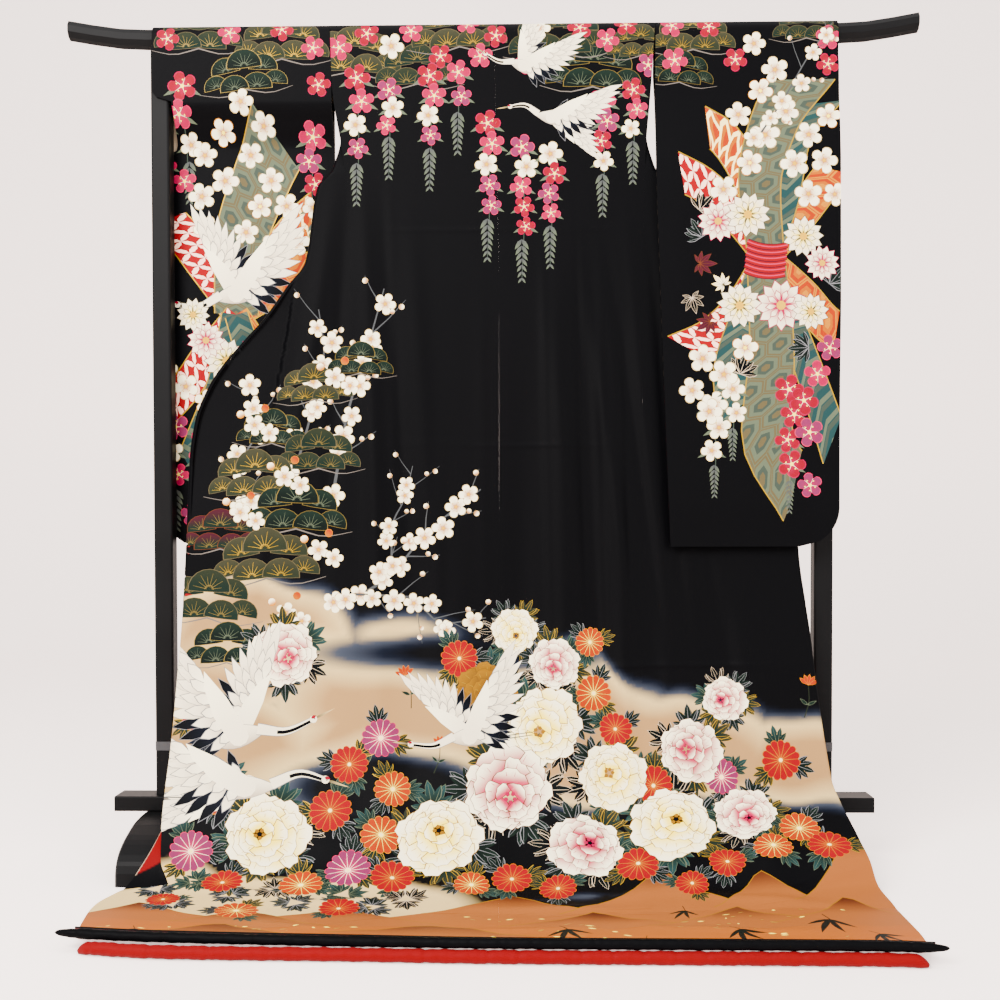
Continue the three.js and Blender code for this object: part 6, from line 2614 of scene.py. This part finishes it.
@dataclass(frozen=True)
class PrintedSilk:
    """Crepe silk that takes its colours, and its leaf gold, from the piece's print.

    Attributes:
        name: The material's name.
        sheen: The soft light along its edges.
        thread: How fine warp and weft are.
        crepe: How fine the crepe's grain is.
        roughness: Its roughness where there is no gold.
        gloss: How much it mirrors.
    """

    name: str = "furisode silk"
    sheen: float = 0.0
    thread: float = 1500
    crepe: float = 520
    roughness: float = 0.55
    gloss: float = 0.024

    def build(self) -> bpy.types.Material:
        """Builds the crepe: warp and weft, small grain, soft unevenness of dye and sheen."""
        shader = Shader(self.name)
        where = {"attribute_name": "print", "attribute_type": "GEOMETRY"}
        printed = shader.node("ShaderNodeAttribute", where)
        gold = Value(shader, printed.outputs["Alpha"])
        weft = shader.noise(self.thread, (1, 0.2, 0.2))
        warp = shader.noise(self.thread, (0.2, 0.2, 1))
        grain = shader.noise(self.crepe, detail=3)
        cloud = shader.noise(7, detail=3)
        tone = 0.93 + 0.08 * cloud + 0.09 * (weft + warp - 1.0) + 0.05 * (grain - 0.5)
        height = 0.5 * weft + 0.5 * warp + 0.8 * grain
        return shader.surface(
            height,
            0.16,
            0.0004,
            Base_Color=shader.shaded(printed.outputs["Color"], tone),
            Roughness=(self.roughness + 0.16 * (grain - 0.5) - 0.2 * gold).limited(),
            Metallic=gold * 0.3,
            Sheen_Weight=self.sheen,
            Sheen_Roughness=0.45,
            Specular_IOR_Level=self.gloss,
        )


@dataclass(frozen=True)
class Lacquer:
    """Black lacquer over wood, with faint brush lines, dust and rubbed patches."""

    name: str = "rack lacquer"
    colour: tuple[float, float, float] = (0.003, 0.003, 0.0032)

    def build(self) -> bpy.types.Material:
        """Builds the lacquer."""
        shader = Shader(self.name)
        brush = shader.noise(60, (0.05, 1, 0.25), 3)
        dust = shader.noise(900)
        rub = shader.noise(11, detail=4)
        tone = 0.8 + 0.5 * rub
        return shader.surface(
            0.7 * brush + 0.3 * dust,
            0.08,
            0.0006,
            Base_Color=shader.shaded(self.colour, tone),
            Roughness=(0.34 + 0.12 * rub + 0.06 * dust).limited(),
            Specular_IOR_Level=0.035,
        )


@dataclass(frozen=True)
class JointMetal:
    """The painted sleeve where a post takes apart, a little scuffed."""

    name: str = "rack joint"

    def build(self) -> bpy.types.Material:
        """Builds the paint."""
        shader = Shader(self.name)
        scuff = shader.noise(140, (1, 1, 0.2), 4)
        tone = 0.8 + 0.45 * scuff
        return shader.surface(
            scuff,
            0.12,
            0.0004,
            Base_Color=shader.shaded((0.03, 0.03, 0.032), tone),
            Roughness=(0.34 + 0.2 * scuff).limited(),
            Specular_IOR_Level=0.2,
        )


@dataclass(frozen=True)
class StudioPaper:
    """The pale floor and wall."""

    name: str = "studio paper"

    def build(self) -> bpy.types.Material:
        """Builds the paper."""
        shader = Shader(self.name)
        cloud = shader.noise(1.2)
        return shader.surface(
            Base_Color=shader.shaded((0.88, 0.765, 0.715), 0.97 + 0.05 * cloud),
            Roughness=0.85,
            Emission_Color=(0.9, 0.79, 0.74, 1.0),
            Emission_Strength=0.9,
        )


# ---- Pieces ----


@dataclass(frozen=True)
class SheetFacts:
    """What a cloth piece was cut to, in metres, and how it is held.

    Attributes:
        width: Its flat width.
        length: Its flat length.
        area: Its flat area, where the cut isn't a rectangle.
        held: How it is held.
        rests_on: The piece that bears it.
    """

    width: float
    length: float
    area: float | None = None
    held: str = "hung"
    rests_on: str = "rack_bar"


@dataclass
class Furisode:
    """The garment, piece by piece."""

    silk: bpy.types.Material
    red: bpy.types.Material
    made: list[bpy.types.Object] = field(default_factory=list)

    def add(self, panel: Panel, facts: SheetFacts) -> None:
        """Args:
            panel: The panel, named like the node that it stands for.
            facts: Its flat cut; not used.
        """
        piece = self.declare(panel.name, panel.skin(), self.silk)

    def declare(self, node: str, skin: Skin, finish: bpy.types.Material) -> bpy.types.Object:
        """Makes a piece that stands for a node of the frame.

        Args:
            node: The node's name.
            skin: The piece's mesh.
            finish: Its material.

        Returns:
            The piece.
        """
        piece = skin.piece(f"{node}_silk", [finish])
        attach(piece, "root")
        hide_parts(node)
        self.made.append(piece)
        LOG.info("%s: %d triangles", piece.name, len(piece.data.polygons))
        return piece

    def body(self) -> None:
        """Backs, fronts, overlaps, collars and the turned edge."""
        canvas = BodyDesign().canvas
        LOG.info("body design: %d shapes", len(canvas.shapes))
        gap, width, sewn_on = SEWN / 2, HANG.front_width, HANG.collar_from
        front = (lambda y: gap + 0 * y, lambda y: width(y) - gap)
        lap = (lambda y: width(y) + gap, lambda y: width(y) + HANG.overlap(y) - gap)
        band = (lambda y: sewn_on(y) + gap, lambda y: sewn_on(y) + gap + COLLAR_WIDTH)
        strips = (
            ("front", canvas, front, (gap, CLOTH_LENGTH), SheetFacts(0.24, 1.985)),
            ("overlap", canvas, lap, (OVERLAP_FROM, CLOTH_LENGTH), SheetFacts(0.15, 1.715, 0.205)),
            ("collar", Canvas(), band, (COLLAR_NECK_DROP + SEAM, COLLAR_END), SheetFacts(0.055, 0.89)),
        )
        for side, name in ((-1, "left"), (1, "right")):
            self.add(BackPanel(f"back_{name}", canvas, side), SheetFacts(0.30, 1.985))
            for strip, design, reach, run, facts in strips:
                panel = FrontPanel(f"{strip}_{name}", design, side, reach, run)
                if strip == "collar":
                    panel.ground = black_ground
                self.add(panel, facts)
        self.add(NeckPanel("collar_neck", Canvas()), SheetFacts(0.19, 0.06))
        turned = TurnedEdge("turned_edge_left", Canvas())
        self.add(turned, SheetFacts(0.055, 0.10, None, "folded", "overlap_left_silk"))

    def sleeves(self) -> None:
        """Both sleeves."""
        for side, name in ((-1, "left"), (1, "right")):
            canvas = SleeveDesign(side).canvas
            LOG.info("sleeve design: %d shapes", len(canvas.shapes))
            panel = SleevePanel(f"sleeve_{name}", canvas, side)
            self.add(panel, SheetFacts(0.345, 2.03))

    def rolls(self) -> None:
        """The padded hem rolls."""
        black = HemRoll("hem_roll_black", -653, 680, 52, BLACK_ROLL_RADIUS, True, Ink.BLACK)
        red = HemRoll("hem_roll_red", -613, 651, 26, RED_ROLL_RADIUS, False, Ink.VERMILION)
        for roll, slot, finish in ((black, "hem_padding", self.silk), (red, "red_silk", self.red)):
            self.declare(roll.name, roll.skin(), finish)


@dataclass(frozen=True)
class Rack:
    """The lacquered rack, whose solids keep their shape and get their finish."""

    lacquer: bpy.types.Material
    joint: bpy.types.Material

    def dress(self) -> None:
        """Gives every rack node its material."""
        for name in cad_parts:
            if not name.startswith("rack_"):
                continue
            obj = bpy.data.objects[name]
            finish = self.joint if "joint" in name else self.lacquer
            obj.data.materials.clear()
            obj.data.materials.append(finish)
            LOG.info("%s: %s", name, finish.name)


@dataclass(frozen=True)
class Studio:
    """The pale floor and wall, the soft lights and the camera, in metres.

    Attributes:
        paper: What floor and wall are made of.
        wide: Half the paper's width.
        front: Where its floor begins.
        back: Where its wall stands.
        bend: The radius between floor and wall.
        tall: The wall's height.
        turned: The camera's yaw, pitch and roll in degrees.
        stands: Where the camera stands.
        lens: Its focal length in millimetres.
        raised: How far its view is shifted up, as a share of its width.
        sky: The even light from all round, red, green, blue.
        sky_power: Its strength.
    """

    paper: bpy.types.Material
    wide: float = 8.0
    front: float = -6.0
    back: float = 5.2
    bend: float = 1.4
    tall: float = 6.5
    turned: tuple[float, float, float] = (1.115, 1.240, 0.114)
    stands: tuple[float, float, float] = (0.0622, -2.1996, 0.6295)
    lens: float = 44.5
    raised: float = 0.062
    sky: tuple[float, float, float] = (1.0, 0.975, 0.965)
    sky_power: float = 1.5

    def build(self) -> None:
        """Builds all of it."""
        self.sweep()
        self.lights()
        self.camera()

    def sweep(self) -> None:
        """One sheet of paper: floor, a wide bend, and the wall behind."""
        back, bend, below = self.back, self.bend, 0.0006
        turn = np.linspace(0, math.pi / 2, 13)
        curve = [(back - bend + bend * math.sin(a), bend - bend * math.cos(a)) for a in turn]
        profile = [(self.front, 0.0), *curve, (back, self.tall)]
        points = [(x, y, z - below) for y, z in profile for x in (-self.wide, self.wide)]
        faces = [(2 * i, 2 * i + 1, 2 * i + 3, 2 * i + 2) for i in range(len(profile) - 1)]
        mesh = bpy.data.meshes.new("studio_sweep")
        mesh.from_pydata(points, [], faces)
        mesh.polygons.foreach_set("use_smooth", [True] * len(faces))
        mesh.materials.append(self.paper)
        sweep = bpy.data.objects.new("studio_sweep", mesh)
        bpy.context.scene.collection.objects.link(sweep)

    def lights(self) -> None:
        """A broad key from the upper left front, a fill and an even sky."""
        for name, place, aim, size, power, tint in (
            ("key", (-2.2, -3.6, 3.3), (0, 0, 0.8), 2.6, 880, (1.0, 0.965, 0.94)),
            ("fill", (2.8, -3.2, 2.2), (0, 0, 0.7), 2.8, 200, (1.0, 0.97, 0.96)),
            ("top", (0, -0.6, 4.2), (0, 0.1, 0), 3.0, 160, (1.0, 0.97, 0.95)),
        ):
            light = bpy.data.lights.new(name, "AREA")
            light.shape, light.size, light.energy, light.color = "SQUARE", size, power, tint
            obj = bpy.data.objects.new(name, light)
            obj.location = place
            obj.rotation_euler = (Vector(aim) - Vector(place)).to_track_quat("-Z", "Y").to_euler()
            bpy.context.scene.collection.objects.link(obj)
        world = bpy.data.worlds.new("studio")
        world.use_nodes = True
        sky = world.node_tree.nodes["Background"]
        sky.inputs[0].default_value = (*self.sky, 1.0)
        sky.inputs[1].default_value = self.sky_power
        bpy.context.scene.world = world

    def camera(self) -> None:
        """The camera, below the garment's middle and turned a little down."""
        yaw, pitch, roll = (math.radians(a) for a in self.turned)
        up = np.array([0.0, 0.0, 1.0])
        ahead = np.array([-math.sin(yaw), math.cos(yaw), 0.0])
        right = np.array([math.cos(yaw), math.sin(yaw), 0.0])
        ahead, up = (
            math.cos(pitch) * ahead - math.sin(pitch) * up,
            math.sin(pitch) * ahead + math.cos(pitch) * up,
        )
        right, up = (
            math.cos(roll) * right - math.sin(roll) * up,
            math.sin(roll) * right + math.cos(roll) * up,
        )
        lens = bpy.data.cameras.new("camera")
        lens.lens, lens.sensor_width, lens.shift_y = self.lens, 36, self.raised
        obj = bpy.data.objects.new("camera", lens)
        turned = np.eye(4)
        turned[:3, 0], turned[:3, 1], turned[:3, 2] = right, up, -ahead
        turned[:3, 3] = self.stands
        obj.matrix_world = Matrix(turned.tolist())
        bpy.context.scene.collection.objects.link(obj)
        bpy.context.scene.camera = obj


def main() -> None:
    """Builds everything in order."""
    logging.basicConfig(level=logging.INFO, format="%(name)s %(message)s")
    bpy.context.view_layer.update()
    silk = PrintedSilk().build()
    red = PrintedSilk("red silk", 0.03).build()
    Studio(StudioPaper().build()).build()
    Rack(Lacquer().build(), JointMetal().build()).dress()
    garment = Furisode(silk, red)
    garment.rolls()
    garment.body()
    garment.sleeves()
    LOG.info("all cloth: %d triangles", sum(len(piece.data.polygons) for piece in garment.made))


if __name__ == "__main__":
    main()
